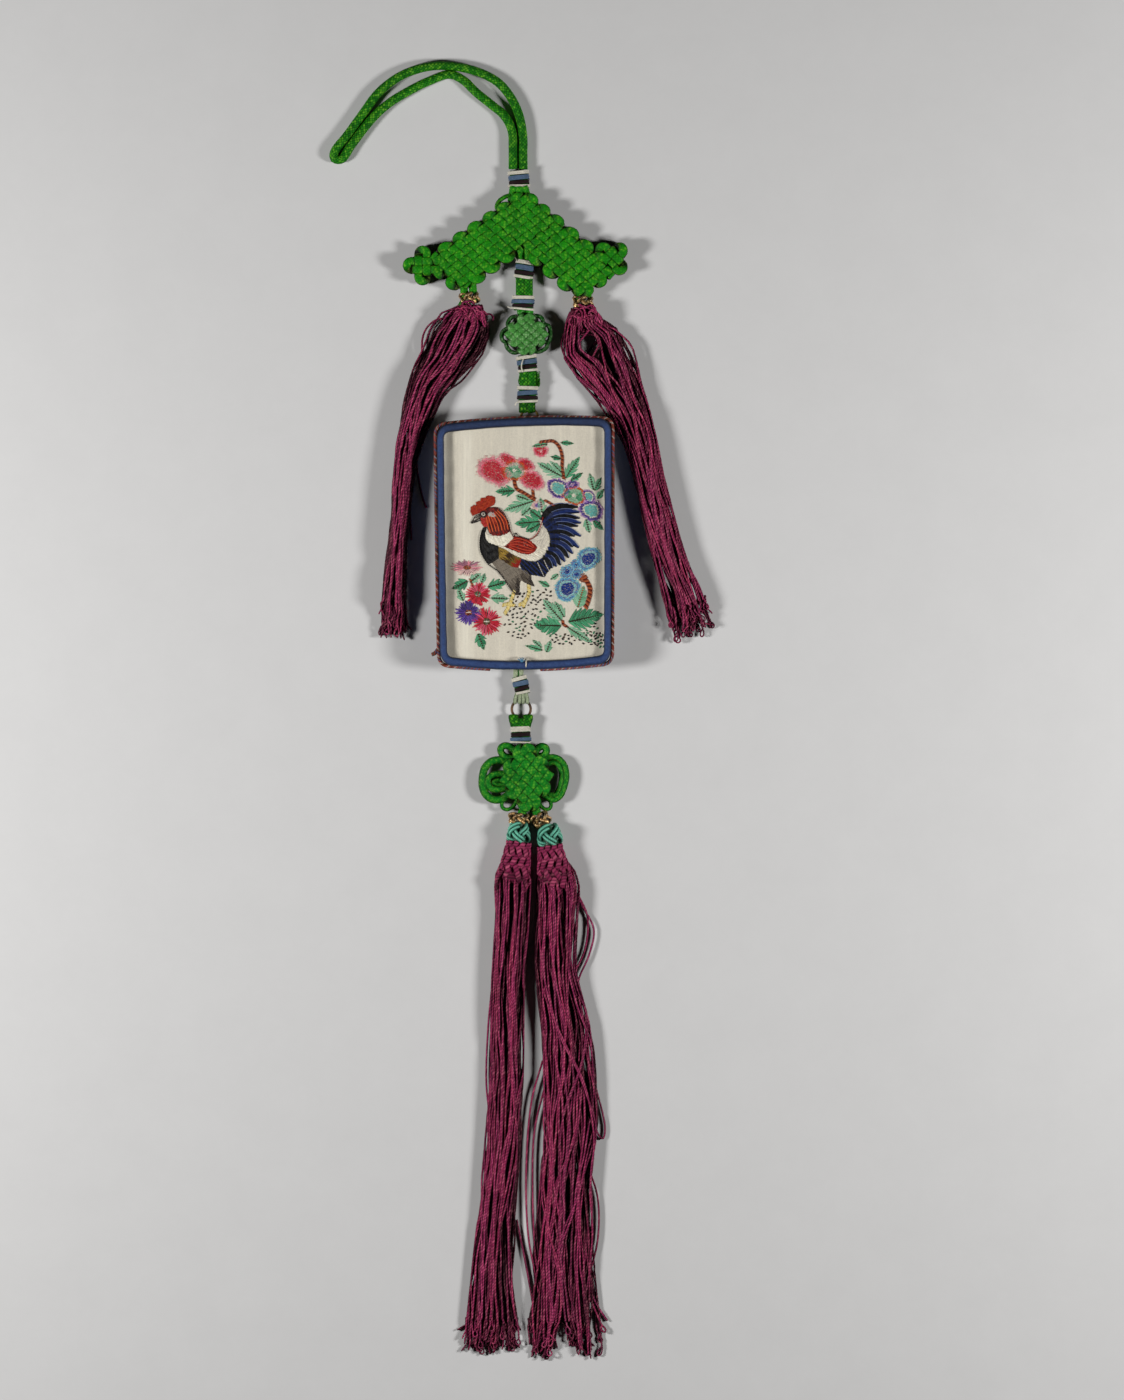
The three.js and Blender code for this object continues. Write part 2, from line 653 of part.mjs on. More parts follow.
function addCase(group) {
  const back = plate(caseOutline(BACK_INSET.x, BACK_INSET.y), 0, PANEL_THICK, CASE_SEGMENTS);
  addPiece(group, "back_panel", back, "satin");

  const wall = plate(
    frameOutline(GUSSET_INSET.x, GUSSET_INSET.y, WALL_THICK),
    POCKET_FLOOR + GAP,
    POCKET_DEPTH - GAP,
    CASE_SEGMENTS,
  );
  const mouth = new THREE.BoxGeometry(CASE_WIDTH * 2, CASE_HEIGHT, CASE_WIDTH);
  mouth.translate(0, CASE_HEIGHT - MOUTH_DEPTH, 0);
  addPiece(group, "gusset", cut(wall, [mouth]), "blueSilk");

  const front = plate(caseOutline(PANEL_INSET.x, PANEL_INSET.y), POCKET_TOP, PANEL_THICK, CASE_SEGMENTS);
  addPiece(group, "front_panel", front, "satin");

  const roll = pad(frameOutline(0, 0, PIPING_WIDE), PIPING_HIGH, PIPING_ROUND, CASE_SEGMENTS);
  addPiece(group, "piping", roll, "blueSilk").position.z = PIPING_BASE;
  addEdgeCord(group);
}

function addEdgeCord(group) {
  const level = POCKET_TOP + PANEL_THICK / 2;
  const round = caseOutline(EDGE_CORD_OUT.x, EDGE_CORD_OUT.y).getSpacedPoints(EDGE_CORD_POINTS);
  const gapStart = round.findIndex((p) => p.x > EDGE_CORD_GAP.from);
  const gapEnd = round.findIndex((p) => p.x > EDGE_CORD_GAP.to);
  const route = [...round.slice(gapEnd, -1), ...round.slice(0, gapStart)];
  const points = route.map((p) => new THREE.Vector3(p.x, p.y, level));
  const cord = tube(points, EDGE_CORD / 2, EDGE_CORD_SIDES, EDGE_CORD_STEPS);
  const end = stub(EDGE_CORD_STUB, EDGE_CORD / 2, level);
  addPiece(group, "edge_cord", fuse([cord, end]), "twistedCord");
}

// Hanging loop
function addHangingLoop(group) {
  const points = LOOP_ROUTE.map((p) => new THREE.Vector3(p.x, p.y, CORD / 2));
  addPiece(group, "hanging_loop", tube(points, CORD / 2, LOOP_SIDES, LOOP_STEPS), "greenCord");
}

// Tassels
function headGeometry({ x, y, toX, toY, topRadius, radius }) {
  const long = Math.hypot(toX - x, toY - y);
  const profile = [
    { radius: 0, at: -long },
    { radius: radius * HEAD_FOOT, at: -long },
    { radius, at: -long * HEAD_SHOULDER },
    { radius: (radius + topRadius) / 2, at: -long * HEAD_SHOULDER * HEAD_NECK },
    { radius: topRadius, at: 0 },
    { radius: 0, at: 0 },
  ];
  const turn = Math.atan2(toX - x, y - toY);
  return turned(profile, TURNED_SIDES, HEAD_HIGH, 2 * radius)
    .rotateZ(turn)
    .translate(x, y, HEAD_HIGH / 2);
}

// One lock: follows the sections at its own place across the bundle, from -1 to 1
function lockGeometry(sections, radius, place, rise, extra) {
  const last = sections.length - 1;
  const points = sections.map((section, i) => {
    const before = sections[Math.max(i - 1, 0)];
    const after = sections[Math.min(i + 1, last)];
    const run = new THREE.Vector2(after.x - before.x, after.y - before.y).normalize();
    const offset = place * (section.half - radius);
    const longer = i === last ? extra : 0;
    const level = i === 0 ? HEAD_HIGH / 2 : radius * (1 + rise);
    return new THREE.Vector3(
      section.x - run.y * offset + run.x * longer,
      section.y + run.x * offset + run.y * longer,
      level,
    );
  });
  return tube(points, radius, LOCK_SIDES, LOCK_STEPS);
}

// A head with two rows of locks, the upper ones over the gaps of the lower ones
function tasselGeometry({ head, sections, lock }) {
  const pieces = [headGeometry(head)];
  const spacing = 2 / (lock.count - 1);
  for (let i = 0; i < 2 * lock.count - 1; i++) {
    const place = (i * spacing) / 2 - 1;
    const rise = (i % 2) * ROW_RISE;
    const extra = END_STAGGER * ((i % END_LENGTHS) - 1);
    pieces.push(lockGeometry(sections, lock.radius, place, rise, extra));
  }
  return fuse(pieces);
}

function addTassels(group) {
  for (const tassel of TASSELS) addPiece(group, tassel.name, tasselGeometry(tassel), "burgundy");
}

// Assembly
const cords = addGroup();
addHangingLoop(cords);
addBindings(cords);
addFlatCords(cords);
addRingLoops(cords);
addRings(cords);

const knots = addGroup();
addPiece(knots, "roof_knot", roofKnotGeometry(), "greenCord");
addPiece(knots, "small_knot", smallKnotGeometry(), "greenCord");
addPiece(knots, "lower_knot", lowerKnotGeometry(), "greenCord");
addTurned(knots, COLLARS, COLLAR_HIGH, COLLAR_END, "gilt");
addTurned(knots, TEAL_KNOTS, TEAL_HIGH, TEAL_END, "teal");

addCase(addGroup());
addTassels(addGroup());

export default assembly;
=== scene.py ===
"""Looks of an embroidered mirror case on knotted cords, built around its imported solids.

Metres and +Z up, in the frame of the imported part: the origin is the middle of the case's back, and +Y runs
towards the hanging loop. Sizes and places in the classes are in millimetres, and MM turns them into metres.
"""

import logging
import math
from collections.abc import Sequence
from dataclasses import dataclass
from enum import Enum

import bmesh
import bpy
import numpy as np
from bpy.types import Material, Node, NodeSocket, NodeTree, Object
from mathutils import Matrix, Vector
from numpy.random import Generator, default_rng


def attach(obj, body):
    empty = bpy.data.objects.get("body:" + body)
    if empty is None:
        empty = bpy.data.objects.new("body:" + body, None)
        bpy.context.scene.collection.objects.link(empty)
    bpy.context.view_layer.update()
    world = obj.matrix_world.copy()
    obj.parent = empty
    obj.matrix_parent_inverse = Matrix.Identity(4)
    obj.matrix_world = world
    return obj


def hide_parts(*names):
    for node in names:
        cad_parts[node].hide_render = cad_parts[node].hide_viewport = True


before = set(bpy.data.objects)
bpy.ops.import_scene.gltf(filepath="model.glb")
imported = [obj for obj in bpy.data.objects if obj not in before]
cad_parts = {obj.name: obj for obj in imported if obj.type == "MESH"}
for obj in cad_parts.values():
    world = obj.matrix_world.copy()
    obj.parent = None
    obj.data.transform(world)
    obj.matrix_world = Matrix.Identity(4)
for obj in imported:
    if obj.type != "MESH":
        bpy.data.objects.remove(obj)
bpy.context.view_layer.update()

LOG = logging.getLogger("mirror_case")
MM = 0.001
BODY = "root"
SEED = 20
UP = np.array((0.0, 0.0, 1.0))
TINT = "tint"
LAY = "lay"
LAY_SHIFT = 7.31
# Where the satin's painted shade bands begin along its sides, and the painted gloss highlight beside the
# left one
SHADE_BAND_EDGE = (23.4, 24.3)
PAINTED_GLOSS_LINE = 19.6
PAINTED_GLOSS_EDGE = (3.4, 0.6)

Point = tuple[float, float]
Points = tuple[Point, ...]
Row = tuple[float, ...]
Array = np.ndarray
Sockets = tuple[NodeSocket, NodeSocket]
Path = np.ndarray


class Slot(Enum):
    """Material slots of the record."""

    GREEN_CORD = "green_cord"
    PALE_CORD = "pale_cord"
    BINDING = "binding_thread"
    BURGUNDY = "burgundy_silk"
    GILT = "gilt_thread"
    TEAL = "teal_cord"
    BRASS = "brass_wire"
    BRONZE = "bronze_wire"
    SATIN = "satin"
    BLUE_SILK = "blue_silk"
    TWISTED = "twisted_cord"


class Silk(Enum):
    """Dyed threads, as display colours in steps of 255."""

    GREEN = (25, 139, 10)
    DEEP_GREEN = (14, 88, 14)
    FADED_GREEN = (71, 145, 60)
    KNOT_GREEN = (12, 132, 28)
    # Highlight colour painted on the green cords' high threads
    LIME_GLINT = (150, 196, 58)
    PALE = (168, 182, 146)
    WHITE = (238, 232, 214)
    STEEL_BLUE = (98, 122, 150)
    RIBBON_BLUE = (20, 46, 98)
    RIBBON_WORN = (62, 94, 146)
    BLACK_BROWN = (44, 28, 30)
    BURGUNDY = (192, 56, 110)
    TEAL = (112, 206, 174)
    GILT = (232, 178, 112)
    IVORY = (229, 221, 200)
    CREAM = (213, 205, 188)
    STONE = (186, 178, 166)
    VERMILION = (168, 54, 24)
    ORANGE = (206, 88, 34)
    CORAL = (216, 94, 48)
    RED_LINE = (210, 80, 56)
    MAROON = (84, 20, 16)
    BRICK = (152, 34, 22)
    SCARLET = (198, 42, 58)
    CRIMSON = (206, 42, 62)
    ROSE = (232, 96, 120)
    PINK = (234, 150, 160)
    BLUSH = (232, 196, 186)
    MAUVE = (168, 116, 132)
    PLUM = (112, 62, 78)
    BLACK = (15, 14, 13)
    CHARCOAL = (36, 34, 30)
    NAVY = (25, 42, 94)
    MIDNIGHT = (12, 15, 28)
    SLATE = (110, 124, 166)
    GREY = (128, 118, 104)
    DUN = (98, 88, 76)
    SOOT = (58, 50, 46)
    OLIVE = (118, 94, 34)
    GOLD = (164, 132, 56)
    UMBER = (64, 44, 24)
    YELLOW = (212, 184, 100)
    STRAW = (226, 208, 142)
    BROWN = (132, 66, 40)
    RUST = (176, 92, 52)
    LEAF = (80, 160, 116)
    SAGE = (112, 168, 130)
    MINT = (146, 190, 158)
    FERN = (54, 124, 86)
    AQUA = (116, 192, 184)
    VIOLET = (84, 62, 136)
    PURPLE = (104, 74, 164)
    LILAC = (192, 150, 194)
    COBALT = (36, 62, 140)
    SKY = (98, 158, 196)
    ICE = (152, 204, 204)
    TRIM_RED = (174, 84, 74)
    TRIM_BLUE = (104, 116, 160)
    TRIM_PALE = (196, 178, 168)

    @property
    def colour(self) -> Array:
        """Linear colour of the thread."""
        return linear(*self.value)

    @property
    def paint(self) -> Row:
        """Linear colour as a shader takes it."""
        return (*self.colour, 1.0)


def linear(red: float, green: float, blue: float) -> Array:
    """Linear colour of a display colour given in steps of 255."""
    shares = np.array((red, green, blue)) / 255
    return np.where(shares <= 0.04045, shares / 12.92, ((shares + 0.055) / 1.055) ** 2.4)


def dyed(names: str) -> tuple[Silk, ...]:
    """Threads by their names in small letters."""
    return tuple(Silk[name.upper()] for name in names.split())


# Lines


def evenly(path: Path, step: float, closed: bool = False) -> Path:
    """Places points at even steps along a line.

    Args:
        path: points of the line.
        step: distance between two new points.
        closed: whether the last point leads back to the first.

    Returns:
        The new points, without a second copy of the first on a closed line.
    """
    line = np.vstack((path, path[:1])) if closed else path
    lengths = np.concatenate(([0.0], np.cumsum(np.linalg.norm(np.diff(line, axis=0), axis=1))))
    count = max(round(lengths[-1] / step), 2)
    places = np.linspace(0.0, lengths[-1], count + 1)
    spread = np.stack([np.interp(places, lengths, line[:, k]) for k in range(line.shape[1])], axis=1)
    return spread[:-1] if closed else spread


def flowing(points: Sequence[Sequence[float]], step: float) -> Path:
    """Draws a smooth line through points, at even steps.

    Args:
        points: places that the line passes, at least two.
        step: distance between two points of the line.

    Returns:
        Points of the line.
    """
    knots = np.array(points, dtype=float)
    chords = np.linalg.norm(np.diff(knots, axis=0), axis=1)
    times = np.concatenate(([0.0], np.cumsum(np.sqrt(chords))))
    slopes = np.gradient(knots, times, axis=0) if len(knots) > 2 else np.repeat(knots[1:] - knots[:1], 2, 0)
    share = np.linspace(0.0, 1.0, 17)[:-1, None]
    spans = []
    for i in range(len(knots) - 1):
        reach = times[i + 1] - times[i] if len(knots) > 2 else 1.0
        start = (2 * share**3 - 3 * share**2 + 1) * knots[i]
        leave = (share**3 - 2 * share**2 + share) * reach * slopes[i]
        end = (3 * share**2 - 2 * share**3) * knots[i + 1]
        arrive = (share**3 - share**2) * reach * slopes[i + 1]
        spans.append(start + leave + end + arrive)
    return evenly(np.vstack((*spans, knots[-1:])), step)


def unit(vectors: Array) -> Array:
    """Vectors of length one, along the last axis."""
    return vectors / np.maximum(np.linalg.norm(vectors, axis=-1, keepdims=True), 1e-9)


def at_level(path: Path, level: float) -> Path:
    """A flat line lifted to one height."""
    return np.column_stack((path, np.full(len(path), level)))


def turned(points: Array, degrees: float, centre: Sequence[float]) -> Array:
    """Points turned about the upright axis through the origin, then moved to a centre.

    Args:
        points: rows of x, y and z.
        degrees: turn, counter-clockwise seen from above.
        centre: where the origin goes.

    Returns:
        The moved points.
    """
    angle = math.radians(degrees)
    spin = np.array(
        ((math.cos(angle), math.sin(angle), 0.0), (-math.sin(angle), math.cos(angle), 0.0), (0.0, 0.0, 1.0))
    )
    return points @ spin + np.array(centre)


def band_section(sides: int, flat: float) -> Array:
    """Corners of a flattened cord's section, squarer than an oval.

    Args:
        sides: number of corners.
        flat: height against width.

    Returns:
        Shares of the half width to the side and up.
    """
    angles = 2 * np.pi * np.arange(sides) / sides
    wide, high = np.cos(angles), np.sin(angles)
    wide, high = (np.sign(part) * np.abs(part) ** 0.45 for part in (wide, high))
    return np.column_stack((wide, flat * high))


# Threads gathered into meshes


class ThreadWork:
    """Swept threads, cords and laid stitches, gathered into one mesh."""

    def __init__(self, name: str) -> None:
        """Starts an empty mesh of that name.

        Args:
            name: name of the mesh.
        """
        self.name = name
        self.points: list[Array] = []
        self.tints: list[Array] = []
        self.faces: list[Array] = []
        self.lays: list[Array] = []
        self.count = 0

    def add(self, points: Array, tints: Array, faces: Array, lays: Array) -> None:
        """Adds points with their colours, and faces of one size with a lay place for each corner.

        Args:
            points: rows of x, y and z.
            tints: colour of each point, or one for all.
            faces: rows of point numbers.
            lays: lay place of each corner of each face.
        """
        self.points.append(points)
        self.tints.append(np.broadcast_to(tints, points.shape))
        self.add_faces(faces + self.count, lays)
        self.count += len(points)

    def add_faces(self, faces: Array, lays: Array) -> None:
        """Adds faces over points that are already there."""
        self.faces.append(faces)
        self.lays.append(np.broadcast_to(lays, (*faces.shape, 2)))

    def sweep(
        self, paths: Array, radius: float | Array, tint: Array, sides: int = 8, flat: float = 1.0,
        closed: bool = False, up: Array = UP, section: Array | None = None, edge: float = 1.0,
    ) -> None:
        """Sweeps a round or given section along one line, or along many with as many points each.

        Args:
            paths: points of one line, or of several in a first axis.
            radius: half the width, one number or one for each point.
            tint: colour, one for all, for each line or for each point.
            sides: corners of a round section.
            flat: height of a round section against its width.
            closed: whether the lines lead back to their start.
            up: direction of the section's height, one for all or one for each point.
            section: corners of another section, as shares of the radius to the side and up.
            edge: share of the colour that is left at the sides and underneath, as painted shade.
        """
        lines = paths if paths.ndim == 3 else paths[None]
        many, long, _ = lines.shape
        if section is None:
            angles = 2 * np.pi * np.arange(sides) / sides
            section = np.column_stack((np.cos(angles), flat * np.sin(angles)))
        sides = len(section)
        if closed:
            ahead = np.roll(lines, -1, axis=1) - np.roll(lines, 1, axis=1)
        else:
            ahead = np.gradient(lines, axis=1)
        ahead = unit(ahead)
        side = unit(np.cross(ahead, up))
        lift = np.cross(side, ahead)
        wide = np.broadcast_to(radius, (many, long))[..., None, None]
        across = section[:, 0, None] * side[:, :, None]
        rings = lines[:, :, None] + wide * (across + section[:, 1, None] * lift[:, :, None])
        tints = np.asarray(tint)
        if tints.ndim == 2:
            tints = tints[:, None]
        tints = np.broadcast_to(tints, lines.shape)
        steps = np.linalg.norm(np.diff(lines, axis=1, append=lines[:, :1]), axis=2)
        runs = np.concatenate((np.zeros((many, 1)), np.cumsum(steps, axis=1)), axis=1)
        runs += LAY_SHIFT * (np.arange(many)[:, None] + len(self.points))
        grid = np.arange(many * long * sides).reshape(many, long, sides)
        here = grid if closed else grid[:, :-1]
        ahead_ring = np.roll(grid, -1, axis=1) if closed else grid[:, 1:]
        quads = np.stack((here, ahead_ring, np.roll(ahead_ring, -1, 2), np.roll(here, -1, 2)), axis=-1)
        spans = quads.shape[1]
        low = np.broadcast_to(runs[:, :spans, None], quads.shape[:3])
        high = np.broadcast_to(runs[:, 1 : spans + 1, None], quads.shape[:3])
        left = np.broadcast_to(np.arange(sides) / sides, quads.shape[:3])
        right = left + 1 / sides
        lays = np.stack(
            (np.stack((low, high, high, low), -1), np.stack((left, left, right, right), -1)), axis=-1,
        )
        first = self.count
        self.add(
            rings.reshape(-1, 3), (tints[:, :, None] * self.shades(section, edge)).reshape(-1, 3),
            quads.reshape(-1, 4), lays.reshape(-1, 4, 2),
        )
        if not closed:
            self.add_faces(first + grid[:, 0], np.zeros(2))
            self.add_faces(first + grid[:, -1, ::-1], np.zeros(2))

    @staticmethod
    def shades(section: Array, edge: float) -> Array:
        """Shares of the colour at a section's corners, with painted shade down its sides and underneath."""
        return np.interp(section[:, 1] / np.max(section[:, 1]), (0.5, 0.92), (edge, 1.0))[:, None]

    def stitches(self, starts: Array, ends: Array, tints: Array, wide: Array, base: Array) -> None:
        """Lays short threads that rise from the cloth at one end and dip into it at the other.

        Args:
            starts: x and y of the first ends.
            ends: x and y of the last ends.
            tints: colour of each thread.
            wide: width of each thread.
            base: height of the cloth under each thread.
        """
        many = len(starts)
        run = ends - starts
        length = np.linalg.norm(run, axis=1, keepdims=True)
        run = run / np.maximum(length, 1e-6)
        side = np.column_stack((-run[:, 1], run[:, 0])) * (wide[:, None] / 2)
        shoulder = np.minimum(length * 0.25, 0.35)
        low, rise = base - 0.08, base + 0.42 * wide
        rows = [np.column_stack((starts, low))]
        for centre in (starts + run * shoulder, ends - run * shoulder):
            rows.append(np.column_stack((centre + side, base)))
            rows.append(np.column_stack((centre, rise)))
            rows.append(np.column_stack((centre - side, base)))
            rows.append(np.column_stack((centre, low)))
        rows.append(np.column_stack((ends, low)))
        points = np.stack(rows, axis=1).reshape(-1, 3)
        shift = (np.arange(many) * 10)[:, None, None]
        caps = [(0, 1 + (k + 1) % 4, 1 + k) for k in range(4)]
        caps += [(9, 5 + k, 5 + (k + 1) % 4) for k in range(4)]
        walls = [(1 + k, 1 + (k + 1) % 4, 5 + (k + 1) % 4, 5 + k) for k in range(4)]
        first = self.count
        cap_faces = (np.array(caps) + shift).reshape(-1, 3)
        self.add(points, np.repeat(tints, 10, axis=0), cap_faces, np.zeros(2))
        across = np.array([((0, k / 4), (0, (k + 1) / 4), (1, (k + 1) / 4), (1, k / 4)) for k in range(4)])
        scale = np.stack((np.repeat(length, 4, 1), np.ones((many, 4))), axis=-1)
        lays = np.broadcast_to(across, (many, 4, 4, 2)) * scale[:, :, None]
        self.add_faces(first + (np.array(walls) + shift).reshape(-1, 4), lays.reshape(-1, 4, 2))

    def knots(self, centres: Array, tints: Array, radius: Array, base: Array) -> None:
        """Sets small round knots on the cloth.

        Args:
            centres: x and y of each knot.
            tints: colour of each knot.
            radius: radius of each knot.
            base: height of the cloth under each knot.
        """
        many = len(centres)
        angles = np.arange(6) * np.pi / 3
        rim = np.column_stack((np.cos(angles), np.sin(angles)))
        ring = centres[:, None] + radius[:, None, None] * rim
        rise = np.broadcast_to((base + 0.25 * radius)[:, None, None], (many, 6, 1))
        top = np.column_stack((centres, base + 0.95 * radius))[:, None]
        foot = np.column_stack((centres, base - 0.08))[:, None]
        points = np.concatenate((np.concatenate((ring, rise), axis=2), top, foot), axis=1).reshape(-1, 3)
        caps = [(k, (k + 1) % 6, 6) for k in range(6)] + [((k + 1) % 6, k, 7) for k in range(6)]
        faces = (np.array(caps) + (np.arange(many) * 8)[:, None, None]).reshape(-1, 3)
        self.add(points, np.repeat(tints, 8, axis=0), faces, np.zeros(2))

    def build(self, material: Material) -> Object:
        """Makes the mesh object in metres, with its lay map and tints.

        Args:
            material: finish of the whole mesh.

        Returns:
            The new object.
        """
        mesh = bpy.data.meshes.new(self.name)
        points = np.concatenate(self.points) * MM
        sizes = np.concatenate([np.full(len(rows), rows.shape[1]) for rows in self.faces])
        corners = np.concatenate([rows.ravel() for rows in self.faces]).astype(np.int32)
        lays = np.concatenate([rows.reshape(-1, 2) for rows in self.lays])
        tints = np.concatenate(self.tints)
        mesh.vertices.add(len(points))
        mesh.vertices.foreach_set("co", points.ravel())
        mesh.loops.add(len(corners))
        mesh.loops.foreach_set("vertex_index", corners)
        mesh.polygons.add(len(sizes))
        starts = np.concatenate(([0], np.cumsum(sizes)[:-1])).astype(np.int32)
        mesh.polygons.foreach_set("loop_start", starts)
        mesh.polygons.foreach_set("use_smooth", np.ones(len(sizes), dtype=bool))
        layer = mesh.uv_layers.new(name=LAY)
        layer.uv.foreach_set("vector", lays.ravel())
        colours = mesh.color_attributes.new(TINT, "FLOAT_COLOR", "POINT")
        colours.data.foreach_set("color", np.column_stack((tints, np.ones(len(tints)))).ravel())
        mesh.update(calc_edges=True)
        mesh.validate()
        mesh.materials.append(material)
        piece = bpy.data.objects.new(self.name, mesh)
        bpy.context.collection.objects.link(piece)
        return piece


def from_bmesh(name: str, bm: bmesh.types.BMesh, material: Material) -> Object:
    """Makes a smooth-shaded object of a bmesh and frees the bmesh.

    Args:
        name: name of the piece.
        bm: mesh in metres.
        material: finish of the whole mesh.

    Returns:
        The new object.
    """
    bmesh.ops.remove_doubles(bm, verts=bm.verts[:], dist=1e-7)
    bmesh.ops.recalc_face_normals(bm, faces=bm.faces[:])
    for face in bm.faces:
        face.smooth = True
    mesh = bpy.data.meshes.new(name)
    bm.to_mesh(mesh)
    bm.free()
    mesh.materials.append(material)
    piece = bpy.data.objects.new(name, mesh)
    bpy.context.collection.objects.link(piece)
    return piece


def settle(piece: Object, slot: Slot, *nodes: str) -> Object:
    """Rides a piece on the body and hides the solids that it stands for.

    Args:
        piece: the new piece.
        slot: material slot of the record; not used.
        nodes: solids that the piece replaces.

    Returns:
        The piece.
    """
    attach(piece, BODY)
    if nodes:
        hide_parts(*nodes)
    LOG.info("%s: %d faces", piece.name, len(piece.data.polygons))
    return piece


# Finishes


class Tree:
    """Shorthand for building a node tree."""

    def __init__(self, tree: NodeTree) -> None:
        """Wraps a node tree."""
        self.tree = tree

    def node(self, kind: str, inputs: dict | None = None, **settings: object) -> Node:
        """Adds a node.

        Args:
            kind: type of the node, without the prefix of shader nodes.
            inputs: values or sockets for its inputs, by name or number.
            settings: properties of the node.

        Returns:
            The node.
        """
        node = self.tree.nodes.new(kind if kind.startswith("NodeGroup") else f"ShaderNode{kind}")
        for key, value in settings.items():
            setattr(node, key, value)
        for key, value in (inputs or {}).items():
            self.feed(node.inputs[key], value)
        return node

    def out(self, kind: str, inputs: dict | None = None, **settings: object) -> NodeSocket:
        """First output of a new node."""
        return self.node(kind, inputs, **settings).outputs[0]

    def feed(self, socket: NodeSocket, value: object) -> None:
        """Links a socket to an input, or sets a plain value on it.

        Args:
            socket: input of a node.
            value: socket to link, or a plain value.
        """
        if isinstance(value, NodeSocket):
            self.tree.links.new(value, socket)
        else:
            socket.default_value = value

    def math(self, operation: str, *values: object) -> NodeSocket:
        """Result of one operation on numbers."""
        return self.out("Math", dict(enumerate(values)), operation=operation)

    def blend(self, share: object, first: object, second: object, how: str = "MIX") -> NodeSocket:
        """Mix of two colours by a share."""
        mixed = self.node("Mix", {0: share, 6: first, 7: second}, data_type="RGBA", blend_type=how)
        return mixed.outputs[2]

    def between(self, share: object, low: float, high: float) -> NodeSocket:
        """Number between two limits by a share."""
        return self.out("MapRange", {0: share, 3: low, 4: high})

    def ramp(self, value: NodeSocket, start: float, end: float) -> NodeSocket:
        """Share that rises smoothly from one value to another."""
        return self.out("MapRange", {0: value, 1: start, 2: end}, interpolation_type="SMOOTHSTEP")

    def grey(self, value: NodeSocket) -> NodeSocket:
        """Number as a grey colour."""
        return self.out("CombineColor", {0: value, 1: value, 2: value})

    def swell(self, run: NodeSocket) -> NodeSocket:
        """Rise and fall of a thread within each repeat."""
        return self.math("SINE", self.math("MULTIPLY", self.math("FRACT", run), math.pi))


class Effect(Enum):
    """Surface effects that several finishes share, each a node group."""

    BRAID = "braided_cord"
    TWIST = "twisted_thread"
    CLOTH = "woven_cloth"
    MOTTLE = "mottled_dye"

    def group(self) -> NodeTree:
        """The effect's node group, built on first use.

        Returns:
            The group.
        """
        found = bpy.data.node_groups.get(self.value)
        if found:
            return found
        tree = bpy.data.node_groups.new(self.value, "ShaderNodeTree")
        for name, kind in (("Place", "Vector"), ("Pitch", "Float"), ("Count", "Float")):
            tree.interface.new_socket(name, in_out="INPUT", socket_type=f"NodeSocket{kind}")
        for name in ("Height", "Chance"):
            tree.interface.new_socket(name, in_out="OUTPUT", socket_type="NodeSocketFloat")
        work = Tree(tree)
        height, chance = self.draw(work, *work.node("NodeGroupInput").outputs[:3])
        work.node("NodeGroupOutput", {"Height": height, "Chance": chance})
        return tree

    def draw(self, work: Tree, place: NodeSocket, pitch: NodeSocket, count: NodeSocket) -> Sockets:
        """Draws the effect's nodes.

        Args:
            work: tree of the group.
            place: lay map or object coordinates.
            pitch: length of one repeat.
            count: plies round a thread, or how much longer than wide a mottle is.

        Returns:
            Sockets of the height and of a chance value for each thread.
        """
        if self is Effect.MOTTLE:
            stretch = work.out("CombineXYZ", {0: 1.0, 1: work.math("DIVIDE", 1.0, count), 2: 1.0})
            scaled = work.out("VectorMath", {0: place, 1: stretch}, operation="MULTIPLY")
            scale = work.math("DIVIDE", 1.0, pitch)
            fine = {"Vector": scaled, "Scale": scale, "Detail": 3.0, "Roughness": 0.6}
            broad = {"Vector": scaled, "Scale": work.math("MULTIPLY", scale, 0.23), "Detail": 1.0}
            return work.out("TexNoise", fine), work.out("TexNoise", broad)
        run, across, _ = work.node("SeparateXYZ", {0: place}).outputs
        along = work.math("DIVIDE", run, pitch)
        if self is Effect.CLOTH:
            rows, columns = along, work.math("DIVIDE", across, pitch)
        else:
            round_it = work.math("MULTIPLY", across, count)
            rows, columns = work.math("ADD", along, round_it), work.math("SUBTRACT", along, round_it)
        first, row = work.swell(rows), work.math("FLOOR", rows)
        if self is Effect.TWIST:
            return first, work.out("TexWhiteNoise", {"W": row}, noise_dimensions="1D")
        second, column = work.swell(columns), work.math("FLOOR", columns)
        over = work.math("FLOORED_MODULO", work.math("ADD", row, column), 2.0)
        one = work.math("MULTIPLY", first, work.math("MULTIPLY_ADD", second, 0.45, 0.55))
        other = work.math("MULTIPLY", second, work.math("MULTIPLY_ADD", first, 0.45, 0.55))
        height = work.out("Mix", {0: over, 2: one, 3: other}, data_type="FLOAT")
        cell = work.out("CombineXYZ", {0: row, 1: column, 2: over})
        return height, work.out("TexWhiteNoise", {"Vector": cell}, noise_dimensions="3D")


